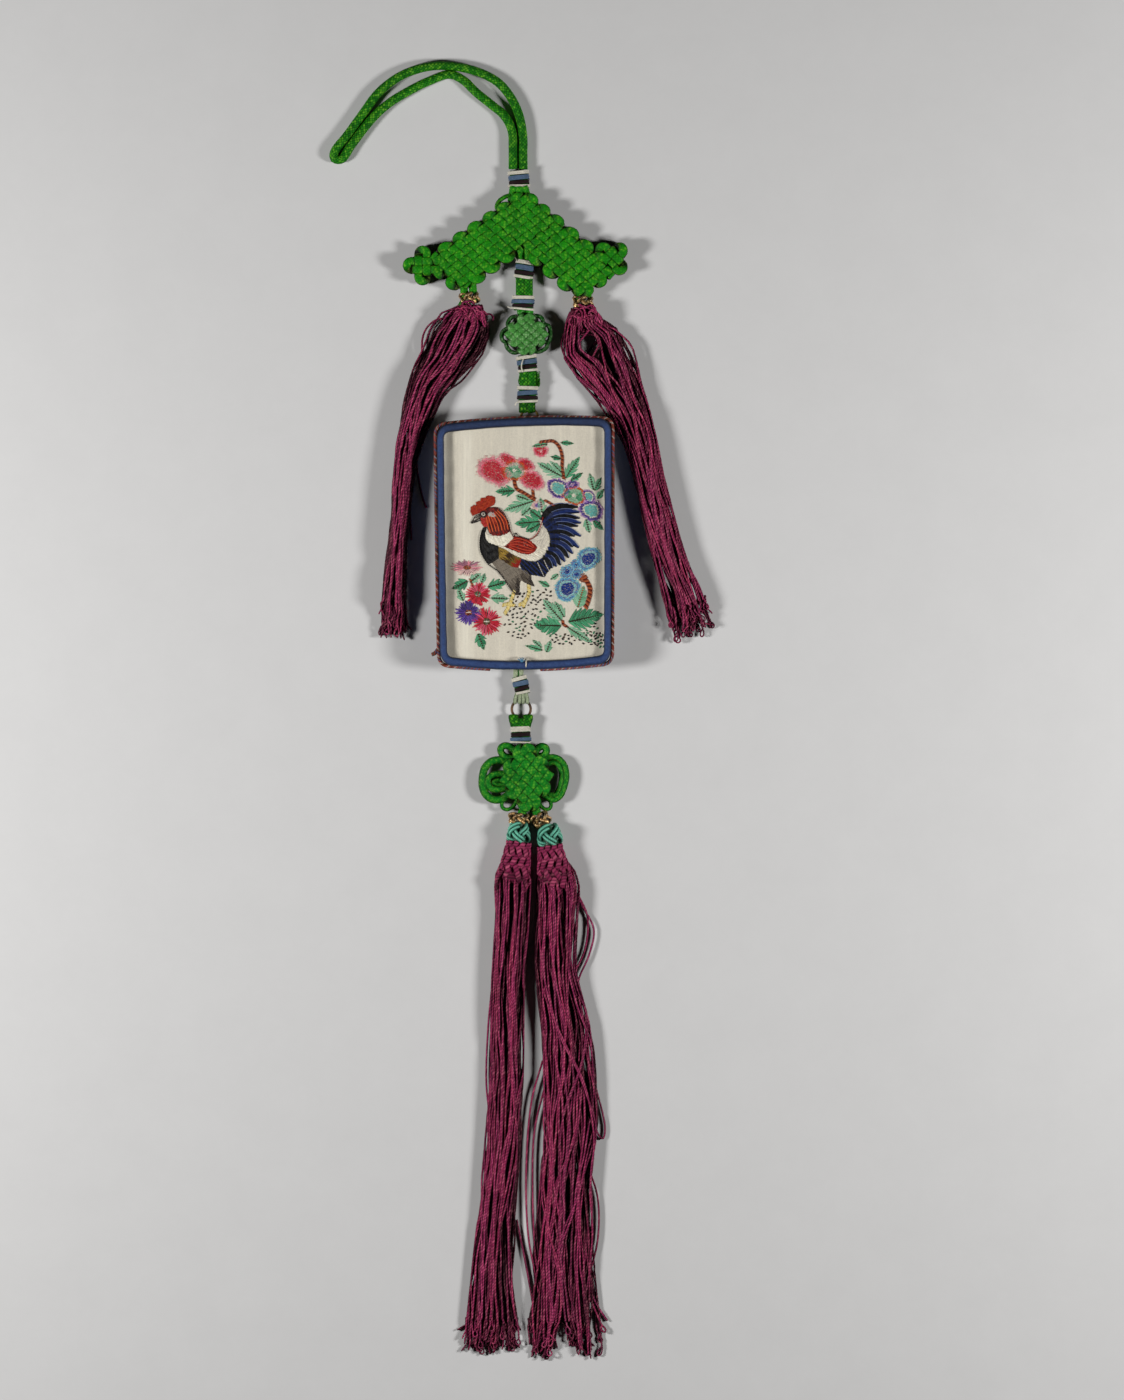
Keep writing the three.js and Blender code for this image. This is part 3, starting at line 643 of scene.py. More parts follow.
class Finish:
    """A material with one Principled shader, and the pieces that every finish here uses."""

    def __init__(self, name: str) -> None:
        """Makes an empty material of that name.

        Args:
            name: name of the material.
        """
        self.material = bpy.data.materials.new(name)
        self.material.use_nodes = True
        self.work = Tree(self.material.node_tree)
        self.shader = self.material.node_tree.nodes["Principled BSDF"]

    def set(self, **values: object) -> None:
        """Sets shader inputs, with their names in small letters and underscores.

        Args:
            values: plain values or sockets, by the name of the input.
        """
        names = {socket.name.lower().replace(" ", "_"): socket for socket in self.shader.inputs}
        for key, value in values.items():
            self.work.feed(names[key], value)

    def lay(self) -> NodeSocket:
        """Place along and round a thread."""
        return self.work.out("UVMap", uv_map=LAY)

    def tint(self) -> NodeSocket:
        """Colour that the mesh carries."""
        return self.work.out("Attribute", attribute_name=TINT)

    def place(self) -> NodeSocket:
        """Place in the object's own frame, in millimetres."""
        place = self.work.node("TexCoord").outputs["Object"]
        return self.work.out("VectorMath", {0: place, "Scale": 1 / MM}, operation="SCALE")

    def effect(self, effect: Effect, place: NodeSocket, pitch: float, count: float = 1.0) -> Sockets:
        """Places an effect and gives its height and chance.

        Args:
            effect: the effect.
            place: lay map or object coordinates.
            pitch: length of one repeat.
            count: plies, or stretch of a mottle.

        Returns:
            Sockets of the height and the chance.
        """
        inputs = {"Place": place, "Pitch": pitch, "Count": count}
        node = self.work.node("Group", inputs, node_tree=effect.group())
        return node.outputs["Height"], node.outputs["Chance"]

    def raise_by(self, height: NodeSocket, relief: float) -> None:
        """Raises the surface by a height, with the relief in millimetres."""
        self.set(normal=self.work.out("Bump", {"Height": height, "Strength": 1.0, "Distance": relief * MM}))

    def shade(
        self, colour: object, height: NodeSocket, gap: float, chance: NodeSocket, vary: float,
    ) -> NodeSocket:
        """Darkens a colour where its height is low, as painted shade in the gaps of a braid or weave, and
        varies it from thread to thread.

        Args:
            colour: colour or socket.
            height: height over the gaps.
            gap: brightness left in a gap.
            chance: chance value of the thread.
            vary: how far threads differ in brightness.

        Returns:
            Socket of the shaded colour.
        """
        work = self.work
        share = work.between(chance, 1.0 - vary, 1.0 + vary)
        level = work.math("MULTIPLY", work.between(height, gap, 1.0), share)
        return work.blend(1.0, colour, work.grey(level), "MULTIPLY")


@dataclass(frozen=True)
class CordFinish:
    """Braided or twisted silk, coloured by each strand's own tint."""

    name: str
    effect: Effect
    pitch: float
    plies: float
    relief: float
    gap: float
    vary: float
    glint: Silk | None = None
    glint_share: float = 0.0
    roughness: float = 0.6
    metallic: float = 0.0
    blotch: float = 0.7
    specular: float = 0.12

    def material(self) -> Material:
        """Builds the material.

        Returns:
            The material.
        """
        finish = Finish(self.name)
        work = finish.work
        height, chance = finish.effect(self.effect, finish.lay(), self.pitch, self.plies)
        mottle, broad = finish.effect(Effect.MOTTLE, finish.place(), 1.6)
        # Painted shade in the gaps between the plies, then a random mottle.
        colour = finish.shade(finish.tint(), height, self.gap, chance, self.vary)
        colour = finish.shade(colour, mottle, self.blotch, broad, 0.25)
        # Painted highlight: specks of the glint colour on the high threads.
        if self.glint:
            share = work.math("MULTIPLY", height, self.glint_share)
            bright = work.math("MULTIPLY", work.math("POWER", chance, 3.0), share)
            colour = work.blend(bright, colour, self.glint.paint)
        rough = work.between(mottle, self.roughness - 0.1, self.roughness + 0.12)
        finish.set(
            base_color=colour, roughness=rough, metallic=self.metallic, specular_ior_level=self.specular,
        )
        finish.raise_by(height, self.relief)
        return finish.material


@dataclass(frozen=True)
class FlossFinish:
    """Loose embroidery silk, coloured stitch by stitch."""

    name: str
    roughness: float = 0.42

    def material(self) -> Material:
        """Builds the material.

        Returns:
            The material.
        """
        finish = Finish(self.name)
        height, chance = finish.effect(Effect.MOTTLE, finish.place(), 0.22)
        colour = finish.shade(finish.tint(), height, 0.82, chance, 0.12)
        rough = finish.work.between(height, self.roughness - 0.1, self.roughness + 0.15)
        finish.set(
            base_color=colour, roughness=rough, sheen_weight=0.04, sheen_roughness=0.35,
            specular_ior_level=0.22,
        )
        finish.raise_by(height, 0.03)
        return finish.material


@dataclass(frozen=True)
class ClothFinish:
    """Woven silk: satin with long floats, or ribbon with ribs."""

    name: str
    colour: Silk
    wear_and_sheen: Silk
    pitch: float
    streak: float
    roughness: float
    relief: float
    sheen: float
    # Whether to paint shade bands along the sides and a gloss highlight beside the left one
    painted_side_shade: bool = False

    def material(self) -> Material:
        """Builds the material.

        Returns:
            The material.
        """
        finish = Finish(self.name)
        work, place = finish.work, finish.place()
        weave, chance = finish.effect(Effect.CLOTH, place, self.pitch)
        streaks, broad = finish.effect(Effect.MOTTLE, place, 0.9, self.streak)
        # Lighter streaks: painted sheen on the satin, and wear on the ribbon.
        colour = work.blend(work.math("POWER", streaks, 2.0), self.colour.paint, self.wear_and_sheen.paint)
        # Painted shade in the weave's gaps.
        colour = finish.shade(colour, weave, 0.88, chance, 0.05)
        colour = finish.shade(colour, streaks, 0.9, broad, 0.1)
        if self.painted_side_shade:
            colour = self.paint_side_shade_and_gloss(finish, colour, place)
        else:
            colour = work.blend(1.0, colour, finish.tint(), "MULTIPLY")
        rough = work.between(streaks, self.roughness - 0.12, self.roughness + 0.18)
        finish.set(
            base_color=colour, roughness=rough, sheen_weight=self.sheen, sheen_roughness=0.4,
            specular_ior_level=0.4,
        )
        finish.raise_by(work.math("MULTIPLY_ADD", streaks, 2.0, weave), self.relief)
        return finish.material

    def paint_side_shade_and_gloss(self, finish: Finish, colour: NodeSocket, place: NodeSocket) -> NodeSocket:
        """Paints shade on the cloth in wavy bands along both sides, beside the rim.

        Args:
            finish: the finish.
            colour: colour of the clean cloth.
            place: place in millimetres.

        Returns:
            Socket of the colour with both painted shade bands, and a painted gloss highlight along the left
            one.
        """
        work = finish.work
        x = work.node("SeparateXYZ", {0: place}).outputs[0]
        wavy, _ = finish.effect(Effect.MOTTLE, place, 5.0, 2.0)
        across = work.math("MULTIPLY_ADD", wavy, 2.6, x)
        # Painted shade: each side band darkens the colour to its depth share.
        for side, depth in ((-1.0, 0.84), (1.0, 0.95)):
            reach = work.math("MULTIPLY_ADD", across, side, -1.3 * side)
            band = work.between(work.ramp(reach, *SHADE_BAND_EDGE), 1.0, depth)
            colour = work.blend(1.0, colour, work.grey(band), "MULTIPLY")
        # Painted highlight: white gloss streaks beside the left band.
        streaks, _ = finish.effect(Effect.MOTTLE, place, 0.8, 14.0)
        aside = work.math("ABSOLUTE", work.math("ADD", x, PAINTED_GLOSS_LINE))
        gloss = work.math("MULTIPLY", work.ramp(aside, *PAINTED_GLOSS_EDGE), work.math("POWER", streaks, 1.4))
        return work.blend(gloss, colour, Silk.WHITE.paint)


@dataclass(frozen=True)
class WireFinish:
    """Metal wire with tarnish."""

    name: str
    bright: Point
    colour: tuple[int, int, int]
    tarnish: tuple[int, int, int]

    def material(self) -> Material:
        """Builds the material.

        Returns:
            The material.
        """
        finish = Finish(self.name)
        work = finish.work
        stain, broad = finish.effect(Effect.MOTTLE, finish.place(), 0.8)
        share = work.between(work.math("MULTIPLY", stain, broad), 0.0, 2.0)
        colour = work.blend(share, (*linear(*self.colour), 1.0), (*linear(*self.tarnish), 1.0))
        finish.set(base_color=colour, metallic=0.9, roughness=work.between(stain, *self.bright))
        finish.raise_by(stain, 0.03)
        return finish.material


@dataclass(frozen=True)
class PaperFinish:
    """Plain pale paper of the floor."""

    name: str = "pale_paper"

    def material(self) -> Material:
        """Builds the material.

        Returns:
            The material.
        """
        finish = Finish(self.name)
        grain, broad = finish.effect(Effect.MOTTLE, finish.place(), 4.0)
        colour = finish.shade((*linear(206, 205, 204), 1.0), grain, 0.97, broad, 0.02)
        finish.set(base_color=colour, roughness=0.9, specular_ior_level=0.1)
        return finish.material


class Finishes:
    """All finishes, each made once."""

    def __init__(self) -> None:
        """Makes the materials."""
        braid, twist = Effect.BRAID, Effect.TWIST
        self.cord = CordFinish(
            "braided_green_silk", braid, 1.2, 8.0, 0.14, 0.2, 0.4, Silk.LIME_GLINT, 0.45, blotch=0.84,
        ).material()
        self.knotted_cord = CordFinish(
            "knotted_green_silk", braid, 0.95, 8.0, 0.06, 0.66, 0.18, Silk.LIME_GLINT, 0.34, blotch=0.84,
        ).material()
        self.faded_cord = CordFinish(
            "braided_faded_silk", braid, 0.8, 8.0, 0.06, 0.68, 0.14, Silk.WHITE, 0.2, blotch=0.84,
        ).material()
        self.burgundy = CordFinish(
            "twisted_burgundy_silk", twist, 1.1, 2.0, 0.14, 0.36, 0.25, Silk.PINK, 0.22, blotch=0.6,
        ).material()
        self.winding = CordFinish("wound_thread", twist, 0.5, 2.0, 0.04, 0.72, 0.1).material()
        self.teal = CordFinish(
            "twisted_teal_silk", twist, 0.7, 3.0, 0.05, 0.72, 0.08, roughness=0.42, specular=0.35,
        ).material()
        self.gilt = CordFinish(
            "gilt_thread", twist, 0.5, 2.0, 0.05, 0.5, 0.25, Silk.STRAW, 0.5, 0.3, 0.35, specular=0.6,
        ).material()
        self.trim = CordFinish("twisted_trim", twist, 0.8, 2.0, 0.05, 0.5, 0.2).material()
        self.floss = FlossFinish("embroidery_silk").material()
        self.satin = ClothFinish(
            "cream_satin", Silk.CREAM, Silk.IVORY, 0.32, 9.0, 0.46, 0.02, 0.1, painted_side_shade=True,
        ).material()
        self.ribbon = ClothFinish(
            "blue_ribbon", Silk.RIBBON_BLUE, Silk.RIBBON_WORN, 0.42, 1.0, 0.62, 0.06, 0.03,
        ).material()
        self.brass = WireFinish("worn_brass", (0.25, 0.5), (190, 160, 96), (110, 84, 50)).material()
        self.bronze = WireFinish("dark_bronze", (0.35, 0.6), (104, 80, 58), (50, 38, 30)).material()
        self.paper = PaperFinish().material()


# Cords


@dataclass
class HangingLoop:
    """Braided cord that the case hangs by, out to its fold and back."""

    finishes: Finishes
    diameter: float = 3.0
    length: float = 201.0
    route: Points = (
        (-0.4, 127.0), (-0.5, 132.0), (-0.5, 138.0), (-1.9, 145.5), (-4.6, 151.3), (-9.0, 156.5),
        (-15.1, 159.8), (-21.6, 161.6), (-28.7, 162.2), (-34.9, 161.4), (-42.3, 158.6), (-49.6, 153.0),
        (-55.4, 145.2), (-60.2, 138.6), (-64.6, 132.8), (-64.6, 130.6), (-62.2, 130.4), (-58.8, 135.2),
        (-51.6, 144.4), (-46.1, 149.4), (-40.0, 153.2), (-32.4, 157.0), (-25.4, 159.2), (-21.0, 157.4),
        (-16.3, 153.0), (-11.3, 149.0), (-6.9, 145.2), (-4.3, 140.2), (-3.9, 133.0), (-3.9, 127.0),
    )

    def build(self) -> None:
        path = at_level(flowing(self.route, 0.7), self.diameter / 2)
        work = ThreadWork("hanging_cord")
        work.sweep(path, self.diameter / 2, Silk.GREEN.colour, sides=12)
        cord = settle(work.build(self.finishes.cord), Slot.GREEN_CORD, "hanging_loop")


@dataclass
class Bindings:
    """Thread wraps in four stripes round the cords."""

    finishes: Finishes
    high: float = 4.2
    core: float = 1.45
    thread: float = 0.2
    table: tuple[tuple[str, float, float, float, float, float, float], ...] = (
        # node, x, y, wide, long, turn, slope of the stripes
        ("binding_1", -1.9, 123.6, 7.4, 5.8, 0, 5),
        ("binding_2", 0.0, 92.9, 6.8, 6.4, -5, -4),
        ("binding_3", -0.5, 81.5, 7.8, 5.0, 0, -3),
        ("binding_4", 0.9, 60.9, 6.8, 5.8, 3, 2),
        ("binding_5", 1.0, 50.4, 7.0, 5.8, -3, 2),
        ("binding_6", -1.2, -48.4, 5.4, 6.2, 12, 2),
        ("binding_7", -1.3, -65.2, 7.2, 5.8, 0, 2),
    )
    stripes: tuple[tuple[Silk, int], ...] = (
        # thread and its turns
        (Silk.WHITE, 4),
        (Silk.STEEL_BLUE, 5),
        (Silk.BLACK_BROWN, 4),
        (Silk.WHITE, 3),
    )
    last_stripes: tuple[tuple[Silk, int], ...] = (
        (Silk.WHITE, 6), (Silk.BLACK_BROWN, 5), (Silk.STEEL_BLUE, 4), (Silk.WHITE, 2),
    )
    tails: tuple[tuple[str, tuple[Row, ...]], ...] = (
        ("binding_2", ((-2.4, 95.2, 3.6), (-2.9, 96.2, 3.4), (-3.7, 97.4, 3.0))),
        ("binding_3", ((-3.6, 79.8, 3.2), (-4.8, 79.9, 2.8), (-5.8, 80.3, 2.4))),
        ("binding_4", ((-0.4, 62.4, 4.3), (-0.9, 60.9, 4.7), (-1.0, 59.4, 4.7), (-0.5, 58.0, 4.0))),
        ("binding_5", ((-2.0, 48.0, 3.4), (-2.9, 47.4, 2.8), (-3.2, 46.6, 2.2))),
    )

    def build(self) -> None:
        """Winds each binding."""
        chance = default_rng(SEED)
        for node, x, y, wide, long, turn, slope in self.table:
            work = ThreadWork(f"{node}_winding")
            threads = self.last_stripes if node == self.table[-1][0] else self.stripes
            pitch = long / sum(turns for _, turns in threads)
            top = long / 2
            for silk, turns in threads:
                lean = turn + slope + chance.normal(0, 2.0)
                self.wind(
                    work, silk, turns, (x, y), wide * chance.uniform(0.94, 1.05), top, pitch, lean, chance,
                )
                top -= turns * pitch
            for name, tail in self.tails:
                if name == node:
                    work.sweep(flowing(tail, 0.3), self.thread, Silk.WHITE.colour, sides=6)
            for side in (-1, 1):
                ends = np.array([(side * wide * 0.22, -long / 2, 0.0), (side * wide * 0.22, long / 2, 0.0)])
                path = turned(evenly(ends, 1.0), turn, (x, y, self.high / 2))
                work.sweep(path, min(self.core, wide * 0.22), Silk.DEEP_GREEN.colour)
            settle(work.build(self.finishes.winding), Slot.BINDING, node)

    def wind(
        self, work: ThreadWork, silk: Silk, turns: int, centre: Point, wide: float, top: float,
        pitch: float, turn: float, chance: Generator,
    ) -> None:
        """Winds one stripe.

        Args:
            work: mesh that takes the thread.
            silk: thread of the stripe.
            turns: how often it goes round.
            centre: middle of the binding.
            wide: width over the wrap.
            top: where the stripe starts along the cords.
            pitch: distance from one turn to the next.
            turn: turn of the stripe in plan, in degrees.
            chance: source of small irregularities.
        """
        angles = np.linspace(0.0, 2 * np.pi * turns, 44 * turns)
        thick = pitch * 0.56
        uneven = np.interp(angles, np.linspace(0, angles[-1], 9), chance.normal(0, 0.06, 9))
        half_wide, half_high = wide / 2 - thick + uneven, self.high / 2 - thick + uneven
        bend = np.abs(np.cos(angles)) ** 0.7 * np.sign(np.cos(angles))
        rise = np.abs(np.sin(angles)) ** 0.8 * np.sign(np.sin(angles))
        along = top - pitch * (0.5 + angles / (2 * np.pi) * (turns - 1) / turns) + uneven * 0.5
        path = np.column_stack((half_wide * bend, along, half_high * rise))
        out = np.column_stack((np.cos(angles), np.zeros_like(angles), np.sin(angles)))
        middle = (*centre, self.high / 2)
        work.sweep(
            turned(path, turn, middle), thick, silk.colour, up=turned(out, turn, (0.0, 0.0, 0.0)),
            edge=0.55,
        )


@dataclass
class FlatCords:
    """Short stretches of cord side by side, between the bindings and round the rings."""

    finishes: Finishes
    cord: float = 1.7
    level: float = 2.1
    wire_level: float = 1.95
    wire_reach: float = 1.05
    frayed_x: float = 1.2
    fibres: int = 46
    fibre: float = 0.14

    def build(self) -> None:
        """Builds each stretch and each loop round a ring."""
        chance = default_rng(SEED + 1)
        green, pale = Silk.GREEN.colour, Silk.PALE.colour
        neck = ThreadWork("neck_cords")
        self.pair(neck, -0.05, 1.2, 90.2, 83.6, green)
        settle(neck.build(self.finishes.cord), Slot.GREEN_CORD, "neck_cord")
        frayed = ThreadWork("frayed_cords")
        self.pair(frayed, self.frayed_x, 1.25, 58.2, 53.0, green)
        self.fray(frayed, chance)
        settle(frayed.build(self.finishes.cord), Slot.GREEN_CORD, "frayed_cord")
        tab = ThreadWork("tab_cords")
        for x, half, tint in (
            (-2.95, 0.85, pale), (-1.15, 0.85, pale), (-2.05, 0.6, Silk.DEEP_GREEN.colour),
        ):
            tab.sweep(self.straight(x, -41.2, -46.0, 2.5), half, tint, flat=0.9)
        settle(tab.build(self.finishes.faded_cord), Slot.PALE_CORD, "tab_cord")
        top = ThreadWork("top_ring_cords")
        self.loops(top, ((-0.4, -0.3), (2.2, 2.1)), 45.6, 48.0, 1.55, green * 0.6)
        settle(top.build(self.finishes.cord), Slot.GREEN_CORD, "top_loop")
        faded = ThreadWork("faded_ring_cords")
        self.loops(faded, ((-3.2, -2.5), (-1.7, -1.4), (-0.4, -0.4), (1.0, 0.5)), -53.3, -51.0, 0.66, pale)
        settle(faded.build(self.finishes.faded_cord), Slot.PALE_CORD, "pale_loop")
        low = ThreadWork("lower_ring_cords")
        self.loops(low, ((-3.7, -2.7), (1.2, 0.1)), -59.7, -63.2, 1.7, green)
        self.loops(low, ((-1.25, -1.3),), -60.9, -63.2, 1.5, green)
        settle(low.build(self.finishes.cord), Slot.GREEN_CORD, "green_loop")

    def straight(self, x: float, start: float, end: float, level: float) -> Path:
        """Straight line along the object at one height."""
        return evenly(np.array([(x, start, level), (x, end, level)]), 0.6)

    def pair(self, work: ThreadWork, x: float, apart: float, start: float, end: float, tint: Array) -> None:
        """Lays two cords side by side.

        Args:
            work: mesh that takes the cords.
            x: middle of the pair.
            apart: distance of each cord from the middle.
            start: upper end.
            end: lower end.
            tint: colour of the cords.
        """
        for side in (-1, 1):
            work.sweep(self.straight(x + side * apart, start, end, self.level), self.cord, tint, sides=12)

    def fray(self, work: ThreadWork, chance: Generator) -> None:
        """Loosens fibres at the sides of the frayed stretch.

        Args:
            work: mesh that takes the fibres.
            chance: source of their places.
        """
        for _ in range(self.fibres):
            side = chance.choice((-1, 1), p=(0.2, 0.8))
            y = chance.uniform(53.6, 57.6)
            out = chance.uniform(0.6, 1.7) * (1.0 if side > 0 else 0.6)
            root = self.frayed_x + side * 2.4
            level = chance.uniform(1.2, 3.2)
            points = (
                (root, y, level),
                (root + side * out, y + chance.uniform(-0.6, 0.9), level + chance.uniform(-0.4, 0.7)),
                (root + side * out * 0.8, y - chance.uniform(0.4, 1.3), level),
                (root, y - chance.uniform(0.5, 1.4), level - 0.2),
            )
            tint = Silk.GREEN.colour * chance.uniform(0.8, 1.5)
            work.sweep(flowing(points, 0.3), self.fibre, tint, sides=5)

    def loops(
        self, work: ThreadWork, places: Sequence[Point], wire: float, legs: float, half: float, tint: Array,
    ) -> None:
        """Turns flattened cords round the wire of a ring.

        Args:
            work: mesh that takes the cords.
            places: x of each cord at the wire and at its legs.
            wire: y of the wire.
            legs: y where the two legs end.
            half: half width of a cord.
            tint: colour of the cords.
        """
        level, reach = self.wire_level, self.wire_reach
        side = math.copysign(1.0, wire - legs)
        angles = np.linspace(np.pi / 2, -np.pi / 2, 14)
        bend = np.column_stack((wire + side * reach * np.cos(angles), level + reach * np.sin(angles)))
        upper = np.array([(legs, level + reach)])
        lower = np.array([(legs, level - reach)])
        outline = evenly(np.vstack((upper, bend, lower)), 0.35)
        share = np.clip((outline[:, 0] - legs) / (wire - legs), 0, 1)
        for at_wire, at_legs in places:
            path = np.column_stack((at_legs + (at_wire - at_legs) * share, outline))
            ahead = unit(np.gradient(path, axis=0))
            up = np.cross((side, 0.0, 0.0), ahead)
            work.sweep(path, half, tint, sides=12, flat=0.5 / half, up=up, edge=0.5)


@dataclass
class Ring:
    """Wire ring that the case hangs on or carries."""

    name: str
    x: float
    y: float
    radius: float
    wire: float = 0.45
    level: float = 1.95
    corners: int = 12
    steps: int = 48

    def build(self, node: str, slot: Slot, material: Material) -> None:
        """Spins a round wire into the ring.

        Args:
            node: solid that the ring stands for.
            slot: material slot of the record.
            material: finish of the wire.
        """
        bm = bmesh.new()
        middle = Vector((self.x, self.y, self.level)) * MM
        seat = Matrix.Translation(Vector((self.x + self.radius, self.y, self.level)) * MM)
        stand = Matrix.Rotation(math.pi / 2, 4, "X")
        bmesh.ops.create_circle(bm, segments=self.corners, radius=self.wire * MM, matrix=seat @ stand)
        section = bm.verts[:] + bm.edges[:]
        turn = 2 * math.pi
        bmesh.ops.spin(bm, geom=section, cent=middle, axis=UP, angle=turn, steps=self.steps, use_merge=True)
        settle(from_bmesh(self.name, bm, material), slot, node)


def build_rings(finishes: Finishes) -> None:
    """Spins the ring over the case and the one under it."""
    Ring("top_wire_ring", 1.7, 42.7, 2.9).build("top_ring", Slot.BRASS, finishes.brass)
    Ring("lower_wire_ring", -1.1, -56.5, 3.2).build("bottom_ring", Slot.BRONZE, finishes.bronze)


# Knots


@dataclass
class Leg:
    """One run of a cord through a lattice: which line, and where it starts and ends."""

    line: int
    start: float
    end: float


@dataclass
class Lattice:
    """Two families of flat cords that pass over and under each other, in a front and a back layer."""

    apex: Point
    angles: Point
    lines: tuple[Sequence[float], Sequence[float]]
    half: float
    thick: float = 1.42
    levels: Point = (4.2, 1.4)
    swing: float = 0.68
    bulge: float = 1.0
    steep: float = 4.0
    # Share of colour left at the cords' sides, as painted shade
    edge: float = 0.05

    def point(self, along: Array, across: Array) -> Array:
        """Places in plan, from the distances down both arms.

        Args:
            along: distances down the first arm.
            across: distances down the second.

        Returns:
            Rows of x and y.
        """
        first, second = (np.radians(angle) for angle in self.angles)
        return np.column_stack(
            (
                self.apex[0] + along * math.cos(first) + across * math.cos(second),
                self.apex[1] + along * math.sin(first) + across * math.sin(second),
            )
        )

    def leg(self, family: int, leg: Leg, layer: int) -> Path:
        """Draws one run with its rises and dips.

        Args:
            family: 0 for cords down the first arm, 1 for cords down the second.
            leg: the run.
            layer: 0 for the front, 1 for the back.

        Returns:
            Points of the run.
        """
        stops = np.array(self.lines[1 - family])
        count = max(int(abs(leg.end - leg.start) / 0.3), 4)
        run = np.linspace(leg.start, leg.end, count)
        first, last = stops[1] - stops[0], stops[-1] - stops[-2]
        marks = np.concatenate(([stops[0] - 2 * first], stops, [stops[-1] + 2 * last]))
        numbers = np.concatenate(([-2.0], np.arange(len(stops)), [len(stops) + 1.0]))
        place = np.interp(run, marks, numbers)
        wave = np.cos(np.pi * (place + leg.line)) * (1 if family == layer else -1)
        height = self.levels[layer] + self.swing * np.tanh(self.steep * wave) / math.tanh(self.steep)
        fixed = np.full(count, self.lines[family][leg.line])
        plan = self.point(run, fixed) if family == 0 else self.point(fixed, run)
        return np.column_stack((plan, height))

    def shaded(self, path: Path, tint: Array, layer: int) -> Array:
        """Colour along a cord, with painted shade where it dips under another.

        Args:
            path: points of the cord.
            tint: its colour.
            layer: 0 for the front, 1 for the back.

        Returns:
            Colour at each point.
        """
        share = np.clip((path[:, 2] - self.levels[layer]) / (2 * self.swing) + 0.5, 0.0, 1.0)
        uneven = 1.0 + 0.13 * np.sin(2.1 * path[:, 0] + 1.3) * np.sin(1.9 * path[:, 1])
        return (tint * (uneven * np.interp(share, (0.45, 0.97), (0.03, 1.0)))[:, None])[None]

    def turn(self, family: int, here: Array, there: Array, outward: float, layer: int) -> Path:
        """Draws the half round in which a cord turns from one line to the next.

        Args:
            family: family of the cord.
            here: end of the run that comes in.
            there: start of the run that goes back.
            outward: 1 where the cord runs away from the apex, -1 towards it.
            layer: 0 for the front, 1 for the back.

        Returns:
            Points between both ends.
        """
        angle = math.radians(self.angles[family])
        reach = np.linalg.norm(here[:2] - there[:2]) / 2 * outward * self.bulge
        rise = self.levels[layer] + self.swing - (here[2] + there[2]) / 2
        out = np.array((math.cos(angle) * reach, math.sin(angle) * reach, rise))
        round_it = np.linspace(0.0, np.pi, 14)[1:-1, None]
        return (here + there) / 2 + np.cos(round_it) * (here - there) / 2 + np.sin(round_it) * out

    def weave(
        self, work: ThreadWork, family: int, legs: Sequence[Leg], tint: Array, closed: bool = False,
        half: float | None = None,
    ) -> None:
        """Sweeps one cord through its runs and the turns between them, in both layers.

        Args:
            work: mesh that takes the cord.
            family: family of the cord.
            legs: its runs in order.
            tint: colour of the cord.
            closed: whether the last run turns back into the first.
            half: half width of the cord, where it differs.
        """
        wide = half or self.half
        for layer in (0, 1):
            runs = [self.leg(family, leg, layer) for leg in legs]
            parts = []
            for i, (leg, run) in enumerate(zip(legs, runs)):
                parts.append(run)
                if closed or i + 1 < len(legs):
                    after = runs[(i + 1) % len(runs)]
                    outward = math.copysign(1.0, leg.end - leg.start)
                    parts.append(self.turn(family, run[-1], after[0], outward, layer))
            path = evenly(np.vstack(parts), 0.48, closed)
            section = band_section(12, self.thick / 2 / wide)
            work.sweep(
                path, wide, self.shaded(path, tint, layer), closed=closed, section=section, edge=self.edge,
            )

    def serpentine(
        self, work: ThreadWork, family: int, count: int, low: float, high: float, tint: Array,
    ) -> None:
        """Weaves one cord to and fro through the first lines of a family."""
        legs = [Leg(k, *((low, high) if k % 2 else (high, low))) for k in range(count)]
        self.weave(work, family, legs, tint)


def petal(root: Point, tip: Point, half: float, step: float) -> Path:
    """Loop that leaves a root, turns round a tip and comes back.

    Args:
        root: where both strands start.
        tip: far end of the loop.
        half: half width of the loop.
        step: distance between two points.

    Returns:
        Points of the loop in plan.
    """
    reach = np.array(tip) - np.array(root)
    side = unit(np.array((-reach[1], reach[0]))) * half
    shape = (
        (0, 0.3), (0.3, 0.8), (0.62, 1), (0.88, 0.72), (1, 0), (0.88, -0.72), (0.62, -1), (0.3, -0.8),
        (0, -0.3),
    )
    return flowing([np.array(root) + out * reach + across * side for out, across in shape], step)


